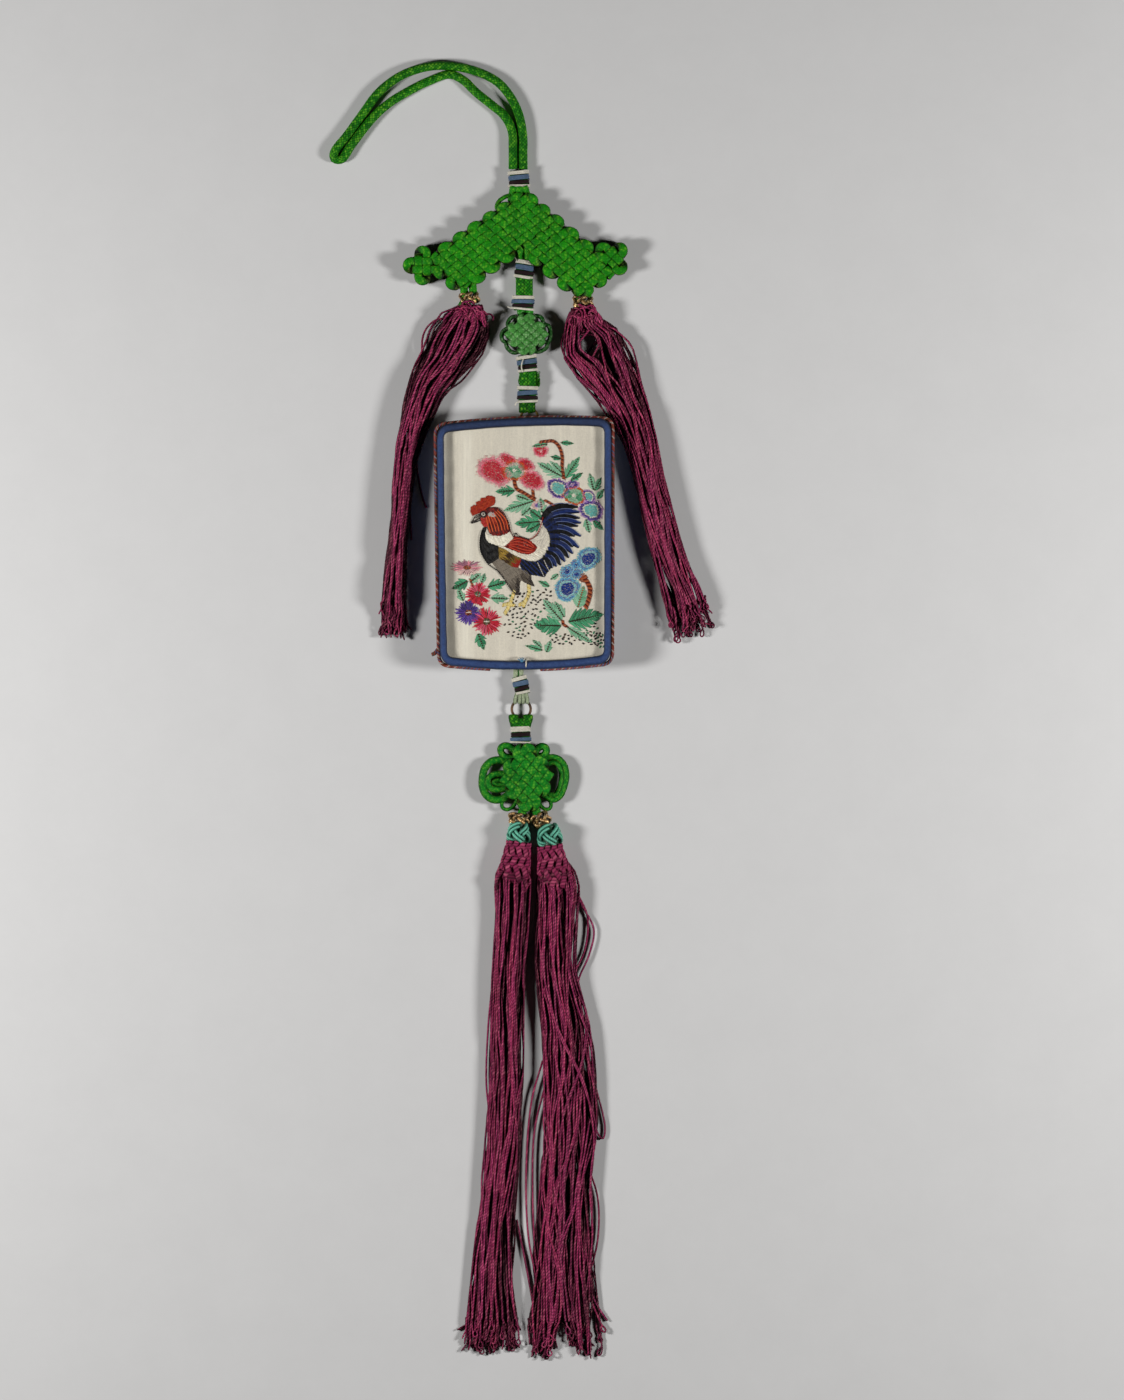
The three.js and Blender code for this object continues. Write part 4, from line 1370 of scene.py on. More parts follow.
@dataclass
class RoofKnot:
    """Wide chevron knot with a clover ear at each end."""

    finishes: Finishes
    narrow: float = 2.75
    half: float = 1.37
    arm_half: float = 1.54
    reach: float = 40.2
    depth: float = 14.3
    edge: float = 0.5
    loose: Points = ((-4.6, 118.2), (-6.8, 117.4), (-8.7, 115.9), (-9.4, 113.9), (-8.2, 112.4))
    tails: tuple[Points, ...] = (
        ((-3.6, 121.2), (-4.4, 115.8)), ((-1.8, 121.2), (-1.6, 116.4)), ((-0.2, 121.2), (1.2, 116.6)),
        ((-1.6, 101.6), (-1.3, 95.8)), ((1.2, 101.6), (1.3, 95.8)), ((-17.8, 88.6), (-17.2, 82.4)),
        ((-20.8, 87.4), (-19.6, 81.0)), ((18.9, 87.6), (18.6, 82.0)), ((21.9, 87.2), (21.2, 82.0)),
    )
    tuft: tuple[Row, ...] = ((-20.6, 82.6, 3.4), (-21.2, 81.6, 3.6), (-21.5, 80.2, 3.4))
    tuft_threads: int = 7
    ear_half: float = 1.4
    ear_place: float = 1.45
    ear_reach: float = 3.9

    def build(self) -> None:
        """Weaves the chevron, its ears and the cords that leave it."""
        long_lines = [1.9 + self.narrow * k for k in range(5)]
        left = long_lines + [16.0 + 3.05 * k for k in range(8)]
        right = long_lines + [16.3 + 3.25 * k for k in range(8)]
        lattice = Lattice((0.0, 118.8), (215.0, -41.0), (right, left), self.half, bulge=0.78)
        work = ThreadWork("roof_knot_cords")
        tint = Silk.GREEN.colour
        for family in (0, 1):
            runs = [(self.edge, self.reach), (self.reach, self.edge)] * 2
            legs = [Leg(0, self.reach + 1.5, self.edge)]
            legs += [Leg(k, *run) for k, run in enumerate(runs, 1)]
            lattice.weave(work, family, [*legs, Leg(5, self.edge, self.depth)], tint)
            for k in (6, 8, 10):
                pair = [Leg(k, self.edge, self.depth), Leg(k + 1, self.depth, self.edge)]
                lattice.weave(work, family, pair, tint * (0.92 + 0.02 * k), True, self.arm_half)
            lattice.weave(work, family, [Leg(12, -0.8, self.depth + 1.2)], tint, half=self.arm_half)
        self.ear(work, (-34.6, 94.2), 180.0, 7.5)
        self.ear(work, (29.5, 96.5), 45.0, 2.0)
        for start, end in self.tails:
            path = evenly(np.array([(*start, 3.4), (*end, 2.6)]), 0.5)
            work.sweep(path, self.half, tint, sides=10, flat=0.9)
        work.sweep(at_level(flowing(self.loose, 0.4), 3.4), 0.75, tint, sides=10, edge=0.4)
        for turn in range(self.tuft_threads):
            angle = turn * 2 * np.pi / self.tuft_threads
            spread = np.array((math.cos(angle), 0.7 * math.sin(angle), 0.6 * math.sin(angle)))
            tuft = np.array(self.tuft)
            tuft[1:] += spread * np.array(((0.5,), (0.9,)))
            work.sweep(flowing(tuft, 0.4), 0.42, Silk.FADED_GREEN.colour * 0.8, sides=6, edge=0.4)
        settle(work.build(self.finishes.knotted_cord), Slot.GREEN_CORD, "roof_knot")

    def ear(self, work: ThreadWork, centre: Point, turn: float, tail: float) -> None:
        """Weaves a clover of two cords across two.

        Args:
            work: mesh that takes the cords.
            centre: middle of the clover.
            turn: direction of its far lobe, in degrees.
            tail: how far its near cords run back to the arm.
        """
        places, far = (-self.ear_place, self.ear_place), self.ear_reach
        lattice = Lattice(centre, (turn, turn + 90), (places, places), self.ear_half)
        lattice.weave(work, 0, [Leg(0, -tail, far), Leg(1, far, -tail)], Silk.GREEN.colour)
        lattice.weave(work, 1, [Leg(0, -far, far), Leg(1, far, -far)], Silk.GREEN.colour, closed=True)


@dataclass
class SmallKnot:
    """Small faded diamond knot with thin loops that stand on edge."""

    finishes: Finishes
    pitch: float = 2.1
    cords: int = 5
    hug: float = 0.95
    loops: tuple[Points, ...] = (
        ((-2.6, 77.4), (-5.0, 76.6), (-6.0, 74.2), (-4.6, 73.2)),
        ((-5.6, 73.4), (-7.9, 71.6), (-8.0, 69.0), (-6.0, 67.6)),
        ((-6.8, 68.2), (-6.0, 65.8), (-3.8, 64.3), (-1.6, 64.8)),
        ((3.4, 77.6), (5.8, 77.0), (6.6, 74.6), (5.4, 73.4)),
        ((6.4, 74.6), (8.6, 73.8), (9.2, 70.6), (8.6, 68.4), (6.8, 68.0)),
        ((8.4, 68.4), (7.8, 66.2), (5.4, 64.7), (3.0, 64.8)),
    )

    def build(self) -> None:
        """Weaves the diamond and stands the loops round it."""
        lines = [self.pitch * (k + 0.5) for k in range(self.cords)]
        lattice = Lattice((0.7, 77.7), (221.0, -41.0), (lines, lines), 1.06, 1.25, (4.2, 1.5), 0.6, 0.5)
        work = ThreadWork("small_knot_cords")
        for family in (0, 1):
            lattice.serpentine(
                work, family, self.cords, 0.2, self.pitch * self.cords - 0.2, Silk.FADED_GREEN.colour,
            )
        for loop in self.loops:
            path = at_level(flowing(loop, 0.4) * self.hug + (1 - self.hug) * np.array((0.7, 70.6)), 2.6)
            work.sweep(path, 0.75, Silk.DEEP_GREEN.colour, sides=10, flat=2.2, edge=0.5)
        for x in (-1.2, 1.6):
            path = evenly(np.array([(x, 79.2, 2.4), (x + 0.4, 75.0, 2.2)]), 0.5)
            work.sweep(path, 1.4, Silk.GREEN.colour, sides=10)
        settle(work.build(self.finishes.faded_cord), Slot.GREEN_CORD, "small_knot")


@dataclass
class LowerKnot:
    """Diamond knot with round ear loops, over the lower tassels."""

    finishes: Finishes
    pitch: float = 2.95
    cords: int = 5
    level: float = 2.6
    flat: float = 0.8
    # Share of colour left at the loops' sides, as painted shade
    edge: float = 0.35
    petals: tuple[tuple[Point, Point, float, float], ...] = (
        # root, tip, half width, half thickness
        ((-2.2, -72.8), (-8.0, -69.7), 1.8, 1.2),
        ((3.4, -72.6), (7.2, -69.7), 1.55, 1.25),
        ((-2.6, -86.2), (-7.4, -90.0), 1.9, 0.65),
        ((4.8, -86.0), (8.6, -90.2), 1.7, 0.65),
    )
    loops: tuple[tuple[float, Points], ...] = (
        # half thickness, then the places that the loop passes
        (1.35, (
            (-5.0, -74.6), (-8.6, -73.8), (-11.4, -74.4), (-13.5, -76.6), (-14.2, -79.6),
            (-14.2, -82.8), (-13.0, -85.6), (-10.6, -87.2), (-7.6, -87.0), (-4.8, -85.0),
        )),
        (1.2, (
            (-6.0, -78.4), (-9.6, -78.6), (-11.9, -79.7), (-12.4, -81.6), (-11.4, -83.4), (-8.6, -83.8),
            (-5.8, -83.2),
        )),
        (0.75, ((-6.2, -80.6), (-9.2, -80.7), (-10.6, -81.4), (-9.2, -82.0), (-6.2, -82.0))),
        (1.0, (
            (5.6, -73.8), (8.4, -72.8), (11.4, -73.2), (13.6, -75.6), (14.3, -79.2), (13.5, -83.2),
            (12.0, -86.2), (9.6, -87.4), (6.6, -85.8),
        )),
        (0.9, (
            (6.8, -75.6), (9.6, -74.6), (11.6, -75.6), (12.6, -79.0), (12.0, -82.6), (10.6, -85.4),
            (8.0, -85.6),
        )),
    )
    tails: tuple[tuple[Point, Point], ...] = (((0.6, -88.6), (-1.7, -93.5)), ((2.6, -88.6), (5.3, -93.6)))

    def build(self) -> None:
        """Weaves the diamond, its loops and the two cords down to the collars."""
        lines = [self.pitch * (k + 0.5) for k in range(self.cords)]
        lattice = Lattice((-0.2, -68.3), (236.0, -46.0), (lines, lines), 1.45, bulge=0.5)
        work = ThreadWork("lower_knot_cords")
        tint = Silk.KNOT_GREEN.colour
        for family in (0, 1):
            lattice.serpentine(work, family, self.cords, 0.2, self.pitch * self.cords - 0.2, tint)
        for root, tip, half, thick in self.petals:
            work.sweep(
                at_level(petal(root, tip, half, 0.4), self.level), thick, tint, sides=10, flat=self.flat,
                edge=self.edge,
            )
        for thick, places in self.loops:
            work.sweep(
                at_level(flowing(places, 0.4), self.level), thick, tint, sides=10, flat=self.flat,
                edge=self.edge,
            )
        for start, end in self.tails:
            work.sweep(evenly(np.array([(*start, 3.0), (*end, 2.8)]), 0.5), 1.4, tint, sides=10)
        settle(work.build(self.finishes.knotted_cord), Slot.GREEN_CORD, "lower_knot")


@dataclass
class RingKnot:
    """Band of cord plaited round the cords that it sits on."""

    node: str
    x: float
    y: float
    wide: float
    long: float
    high: float
    turn: float
    cord: float
    bights: int
    tracks: int
    end_share: float
    # Share of colour left at the strands' sides and dips, as painted shade
    edge: float
    spark: float = 0.0

    def build(self, silk: Silk, core: Silk, slot: Slot, material: Material) -> None:
        """Plaits the band in three leads, each of several tracks.

        Args:
            silk: colour of the plait.
            core: colour of what shows inside, darkened as painted shade.
            slot: material slot.
            material: finish of the plait.
        """
        work = ThreadWork(f"{self.node}_plait")
        chance = default_rng(SEED + 3)
        around = np.linspace(0.0, 6 * np.pi, 3 * 84, endpoint=False)
        phase = around * self.bights / 3
        half = self.long / 2 - self.cord * self.tracks * 0.75
        along = half * np.cos(phase)
        swell = 1 - (1 - self.end_share) * np.cos(phase) ** 2
        depth = self.cord * 1.4 * np.sin(2 * phase)
        out_x = (self.wide / 2 - 2 * self.cord) * swell + depth
        out_z = (self.high / 2 - 2 * self.cord) * swell + depth
        path = np.column_stack((out_x * np.cos(around), along, out_z * np.sin(around)))
        out = np.column_stack((np.cos(around), np.zeros_like(around), np.sin(around)))
        side = unit(np.cross(np.roll(path, -1, 0) - np.roll(path, 1, 0), out))
        centre = (self.x, self.y, self.high / 2)
        # Painted shade where a strand dips under the others.
        dip = np.interp(np.sin(2 * phase), (-0.9, 0.1), (self.edge + 0.15, 1.0))[None, :, None]
        for track in range(self.tracks):
            offset = (track - (self.tracks - 1) / 2) * 2.2 * self.cord
            strand = turned(path + side * offset, self.turn, centre)
            # Painted sparkle: random bright and dark specks along each strand, standing in for the gilt's
            # highlights.
            grain = np.repeat(chance.uniform(0, 1, len(path) // 3), 3)[None, :, None] ** 2
            shade = 1.0 + self.spark * (2.4 * grain - 0.8)
            up = turned(out, self.turn, (0.0, 0.0, 0.0))
            work.sweep(
                strand, self.cord, silk.colour * dip * shade, sides=8, closed=True, up=up, edge=self.edge,
            )
        # Painted shade: a dark core where the inside shows.
        ends = np.array([(0.0, -self.long * 0.45, 0.0), (0.0, self.long * 0.45, 0.0)])
        work.sweep(
            turned(evenly(ends, 0.5), self.turn, centre), self.wide * 0.3, core.colour * 0.35, sides=10,
            flat=0.8,
        )
        settle(work.build(material), slot, self.node)


def build_ring_knots(finishes: Finishes) -> None:
    """Plaits the gilt collars and the teal ball knots.

    Args:
        finishes: all finishes.
    """
    for node, x, y, wide, long, turn in (
        ("collar_left", -18.7, 83.2, 7.4, 4.0, 4), ("collar_right", 19.9, 81.9, 7.6, 4.2, -5),
        ("collar_lower_left", -1.9, -93.7, 7.8, 3.9, -6), ("collar_lower_right", 5.6, -94.0, 7.0, 4.6, 25),
    ):
        collar = RingKnot(node, x, y, wide, long, 5.8, turn, 0.62, 5, 1, 0.76, 0.04, 0.9)
        collar.build(Silk.GILT, Silk.UMBER, Slot.GILT, finishes.gilt)
    for node, x, y, wide, long, turn in (
        ("teal_knot_left", -2.0, -98.6, 8.6, 7.2, 0), ("teal_knot_right", 8.5, -99.4, 9.2, 7.6, 8),
    ):
        ball = RingKnot(node, x, y, wide, long, 7.4, turn, 0.55, 4, 2, 0.62, 0.2)
        ball.build(Silk.TEAL, Silk.FERN, Slot.TEAL, finishes.teal)


# Tassels


@dataclass
class Tassel:
    """Bundle of twisted threads with looped ends, under a head."""

    node: str
    sections: tuple[Row, ...]
    threads: int
    heights: Point
    strays: tuple[Points, ...]
    splits: tuple[Row, ...] = ()
    thread: float = 0.37
    step: float = 2.1
    sides: int = 5
    crossing: float = 0.5
    lock: int = 2
    # Painted shade: colour left on the lowest threads, and at each thread's sides
    depth: float = 0.18
    edge: float = 0.08
    loop_points: int = 13
    loop_thick: float = 0.78
    # Least colour left on the end loops under the painted shade
    loop_share: float = 0.5

    def flow(self, chance: Generator) -> tuple[Path, Array]:
        """Lays the threads along the bundle, in locks that run together.

        Args:
            chance: source of each thread's place and wander.

        Returns:
            Points of all threads, with as many points each, and the share of colour at each, which paints
            shade on the lower threads.
        """
        table = np.array(self.sections)
        middle = flowing(table[:, :2], self.step)
        long = len(middle)
        place = np.linspace(0.0, 1.0, long)
        marks = [np.argmin(np.linalg.norm(middle - row[:2], axis=1)) / (long - 1) for row in table]
        half = np.interp(place, marks, table[:, 2]) - self.thread
        ahead = unit(np.gradient(middle, axis=0))
        side = np.column_stack((-ahead[:, 1], ahead[:, 0]))
        many = self.threads
        locks = many // self.lock
        lock = np.arange(many) % locks
        base = (np.arange(locks) + chance.uniform(0.2, 0.8, locks)) / locks * 2 - 1
        chance.shuffle(base)
        spread = base[lock] + chance.normal(0, 0.06, many)
        layer = (chance.uniform(0.0, 1.0, locks)[lock] + chance.normal(0, 0.14, many))[:, None]
        wander = np.zeros((many, long))
        lift = np.zeros((many, long))
        for waves, size, own in (
            (0.7, 0.12, False), (2.2, 0.09, False), (2.8, 0.07, True), (7.0, 0.03, True),
        ):
            count = many if own else locks
            start = chance.uniform(0, 2 * np.pi, (count, 2))
            pace = waves * chance.uniform(0.7, 1.3, (count, 1))
            rows = np.arange(many) if own else lock
            wander += (size * np.sin(2 * np.pi * pace * place + start[:, :1]))[rows]
            lift += (1.6 * size * np.sin(2 * np.pi * pace * place + start[:, 1:]))[rows]
        cross = chance.uniform(0, 1, locks)[lock] < self.crossing
        other = np.where(cross, chance.uniform(-1, 1, locks)[lock], spread)[:, None]
        when = chance.uniform(0.25, 0.75, (locks, 1))[lock]
        turn = np.clip((place - when) / 0.36 + 0.5, 0, 1)
        turn = turn**2 * (3 - 2 * turn)
        across = np.clip(spread[:, None] * (1 - turn) + other * turn + wander, -1.06, 1.06)
        for where, spread_out, middle_at, gap in self.splits:
            part = gap * np.exp(-(((place - where) / spread_out) ** 2))
            off = across - middle_at
            across = middle_at + off * (1 - part) + np.sign(off) * part
        layer = np.clip(layer + lift + np.where(cross[:, None], 0.35 * np.sin(np.pi * turn), 0.0), 0, 1)
        neck = np.interp(place, (0, 0.05), (0.5, 1))
        room = (np.interp(place, (0, 1), self.heights) - 2 * self.thread) * neck
        height = self.thread + room * layer * np.sqrt(1 - 0.8 * np.clip(across, -1, 1) ** 2)
        plan = middle[None] + across[..., None] * half[None, :, None] * side[None]
        # Painted shade: the lower a thread lies in the bundle, the darker it is.
        near = np.clip((layer - 0.56) / 0.4, 0, 1)
        shares = self.depth + (1 - self.depth) * near**2 * (3 - 2 * near)
        return np.concatenate((plan, height[..., None]), axis=2), shares

    def end_loops(self, paths: Path, chance: Generator) -> Path:
        """Ends each thread a little earlier or later, in a small twisted loop.

        Args:
            paths: points of all threads.
            chance: source of each loop's size and lean.

        Returns:
            Points of all threads with their loops.
        """
        many = len(paths)
        ahead = unit(paths[:, -1] - paths[:, -4])
        lean = np.radians(chance.normal(0, 20, many))
        cos, sin = np.cos(lean), np.sin(lean)
        run = np.column_stack(
            (ahead[:, 0] * cos - ahead[:, 1] * sin, ahead[:, 0] * sin + ahead[:, 1] * cos)
        )
        side = np.column_stack((-run[:, 1], run[:, 0]))
        shift = -0.8 - 9.0 * chance.uniform(0, 1, (many, 1)) ** 0.8
        end = paths[:, -1, :2] + ahead[:, :2] * shift
        base = np.clip(paths[:, -1, 2] * chance.uniform(0.3, 0.9, many), self.thread, None)
        eye = np.where(chance.uniform(0, 1, many) < 0.34, chance.uniform(0.8, 1.2, many), 0.05)[:, None]
        long = chance.uniform(2.0, 3.6, (many, 1))
        angles = np.linspace(0.0, 2 * np.pi, self.loop_points + 2)[1:-1]
        out = long * (1 - np.cos(angles)) / 2
        across = eye * np.sin(angles) * np.sin(angles / 2)
        plan = end[:, None] + out[..., None] * run[:, None] + across[..., None] * side[:, None]
        height = base[:, None] + 0.25 * np.sin(angles / 2) * np.sign(np.cos(angles / 2))
        loops = np.concatenate((plan, np.maximum(height, self.thread)[..., None]), axis=2)
        lead = paths[:, :-1].copy()
        back = np.linspace(0, 1, 5)[None, :, None]
        move = np.zeros((many, 5, 3))
        move[..., :2] = (end - paths[:, -1, :2])[:, None] * back
        move[..., 2] = (base - paths[:, -1, 2])[:, None] * back[..., 0]
        lead[:, -5:] += move
        lead[..., 2] = np.maximum(lead[..., 2], self.thread)
        return np.concatenate((lead, loops), axis=1)

    def tints(self, many: int, chance: Generator) -> Array:
        """Colour of each thread.

        Args:
            many: number of threads.
            chance: source of their shades.

        Returns:
            A row of colour for each.
        """
        bright = chance.uniform(0.62, 1.3, (many, 1))
        warm = chance.normal(0, 0.05, (many, 3))
        return Silk.BURGUNDY.colour * bright * (1 + warm)

    def build(self, finishes: Finishes, head: "Head") -> None:
        """Lays the threads, the strays and the head.

        Args:
            finishes: all finishes.
            head: what gathers the threads.
        """
        chance = default_rng(SEED + len(self.node) + self.threads)
        work = ThreadWork(f"{self.node}_threads")
        paths, shares = self.flow(chance)
        paths = self.end_loops(paths, chance)
        ends = np.ones(paths.shape[1])
        ends[-self.loop_points :] = self.loop_thick
        # The end loops keep at least loop_share of their colour under the painted shade.
        shares = np.pad(shares[:, :-1], ((0, 0), (0, self.loop_points)), mode="edge")
        tips = slice(-self.loop_points - 3, None)
        shares[:, tips] = np.maximum(shares[:, tips], self.loop_share)
        tints = self.tints(len(paths), chance)[:, None] * shares[..., None]
        work.sweep(paths, self.thread * ends, tints, sides=self.sides, edge=self.edge)
        for stray in self.strays:
            rise = chance.uniform(0.4, 1.6)
            path = at_level(flowing(stray, 0.8), rise)
            work.sweep(path, self.thread, self.tints(1, chance)[0], sides=self.sides, edge=self.edge)
        head.dress(work, chance, self)
        settle(work.build(finishes.burgundy), Slot.BURGUNDY, self.node)


class Head:
    """What gathers a tassel's threads."""

    def dress(self, work: ThreadWork, chance: Generator, tassel: Tassel) -> None:
        """Adds the head's threads to the tassel's mesh."""
        raise NotImplementedError


@dataclass
class LoopedHead(Head):
    """Cluster of short tangled loops, close under a collar."""

    x: float
    y: float
    wide: float
    long: float
    lean: float
    loops: int = 48
    tangles: int = 22

    def dress(self, work: ThreadWork, chance: Generator, tassel: Tassel) -> None:
        """Loops threads out of the neck and back under, and tangles a few across them.

        Args:
            work: mesh of the tassel.
            chance: source of places and leans.
            tassel: the tassel.
        """
        for k in range(self.loops):
            side = 2 * (k + 0.5) / self.loops - 1
            lean = np.clip(side * 22 + self.lean + chance.normal(0, 9), -42, 42)
            down = np.array((math.sin(math.radians(lean)), -math.cos(math.radians(lean))))
            reach = self.long * chance.uniform(0.4, 1.05)
            root = np.array((self.x + side * self.wide / 2, self.y - chance.uniform(0.0, 0.8)))
            bow = np.array((-down[1], down[0])) * chance.uniform(-1.5, 1.5)
            level = 3.4 + 2.8 * math.cos(math.radians(lean)) * chance.uniform(0.5, 1.0)
            points = [
                (*root, 3.4), (*(root + down * reach * 0.35 + bow * 0.6), level),
                (*(root + down * reach * 0.75 + bow), level),
                (*(root + down * reach + bow * 0.5), level * 0.6),
                (*(root + down * reach * 0.8 - bow * 0.3), level * 0.35),
            ]
            # Painted shade: loops that lie lower are darker.
            tint = tassel.tints(1, chance)[0] * np.interp(level, (3.4, 6.0), (0.45, 1.05))
            work.sweep(flowing(points, 0.6), tassel.thread, tint, sides=tassel.sides, edge=tassel.edge)
        for _ in range(self.tangles):
            out = np.clip(chance.normal(0, 0.3), -0.42, 0.42)
            middle = np.array((self.x + out * self.wide, self.y - chance.uniform(0.8, 5.0)))
            lean = math.radians(chance.uniform(-70, 70))
            along = np.array((math.cos(lean), math.sin(lean))) * chance.uniform(1.2, 2.4)
            bow = np.array((-along[1], along[0])) * chance.uniform(0.3, 0.9)
            points = [
                (*(middle - along), 3.6), (*(middle - along * 0.6 + bow), 6.0),
                (*(middle + along * 0.6 + bow), 6.2), (*(middle + along), 3.6),
            ]
            tint = tassel.tints(1, chance)[0]
            work.sweep(flowing(points, 0.6), tassel.thread, tint, sides=tassel.sides, edge=tassel.edge)


@dataclass
class NettedHead(Head):
    """Cap of flat strands netted over and under each other down to the free threads."""

    top: Point
    foot: Point
    top_half: float
    foot_half: float
    high: float = 7.0
    strands: int = 11
    twist: float = 0.088
    cord: float = 0.86
    flat: float = 0.6
    swing: float = 0.42

    def dress(self, work: ThreadWork, chance: Generator, tassel: Tassel) -> None:
        """Nets two families of strands round the head.

        Args:
            work: mesh of the tassel.
            chance: source of lengths and shades.
            tassel: the tassel.
        """
        start, end = np.array(self.top), np.array(self.foot)
        long = np.linalg.norm(end - start)
        axis = (end - start) / long
        across = np.array((-axis[1], axis[0]))
        for lean in (-1, 1):
            for k in range(self.strands):
                run = np.linspace(0.0, long * chance.uniform(0.66, 1.3), 72)
                half, rise = self.girth(run / long)
                angle = 2 * np.pi * k / self.strands + lean * self.twist * run
                wave = np.tanh(1.6 * lean * np.cos(self.strands * self.twist * run))
                tuck = np.interp(run / run[-1], (0.86, 1.0), (0.0, 1.9))
                depth = self.swing * wave - tuck - self.cord
                plan = start + run[:, None] * axis + ((half + depth) * np.cos(angle))[:, None] * across
                height = self.high / 2 + (rise + depth) * np.sin(angle)
                path = np.column_stack((plan, np.maximum(height, tassel.thread)))
                up = np.column_stack((np.cos(angle)[:, None] * across, np.sin(angle)))
                # Painted shade where a strand dips under the other family.
                bright = np.interp(wave, (-0.9, 0.5), (0.31, 0.67)) * chance.uniform(0.92, 1.08)
                tint = Silk.BURGUNDY.colour * bright[:, None]
                section = band_section(10, self.flat)
                work.sweep(path, self.cord, tint[None], up=up, section=section, edge=0.4)
        # Painted shade: a dark core fills the inside of the head.
        run = np.linspace(0.0, long, 40)
        half, _ = self.girth(run / long)
        core = np.column_stack((start + run[:, None] * axis, np.full(len(run), self.high / 2)))
        close = np.sqrt(1.0 - 0.98 * (run / long) ** 8)
        work.sweep(core, (half - 1.2) * close, Silk.BURGUNDY.colour * 0.3, sides=12, flat=0.6)

    def girth(self, share: Array) -> tuple[Array, Array]:
        """Half width and half height at shares of the head's length."""
        half = self.top_half + (self.foot_half - self.top_half) * share**1.2
        return half, self.high / 2 * (0.86 + 0.14 * np.sin(np.pi * np.clip(share, 0, 1)))


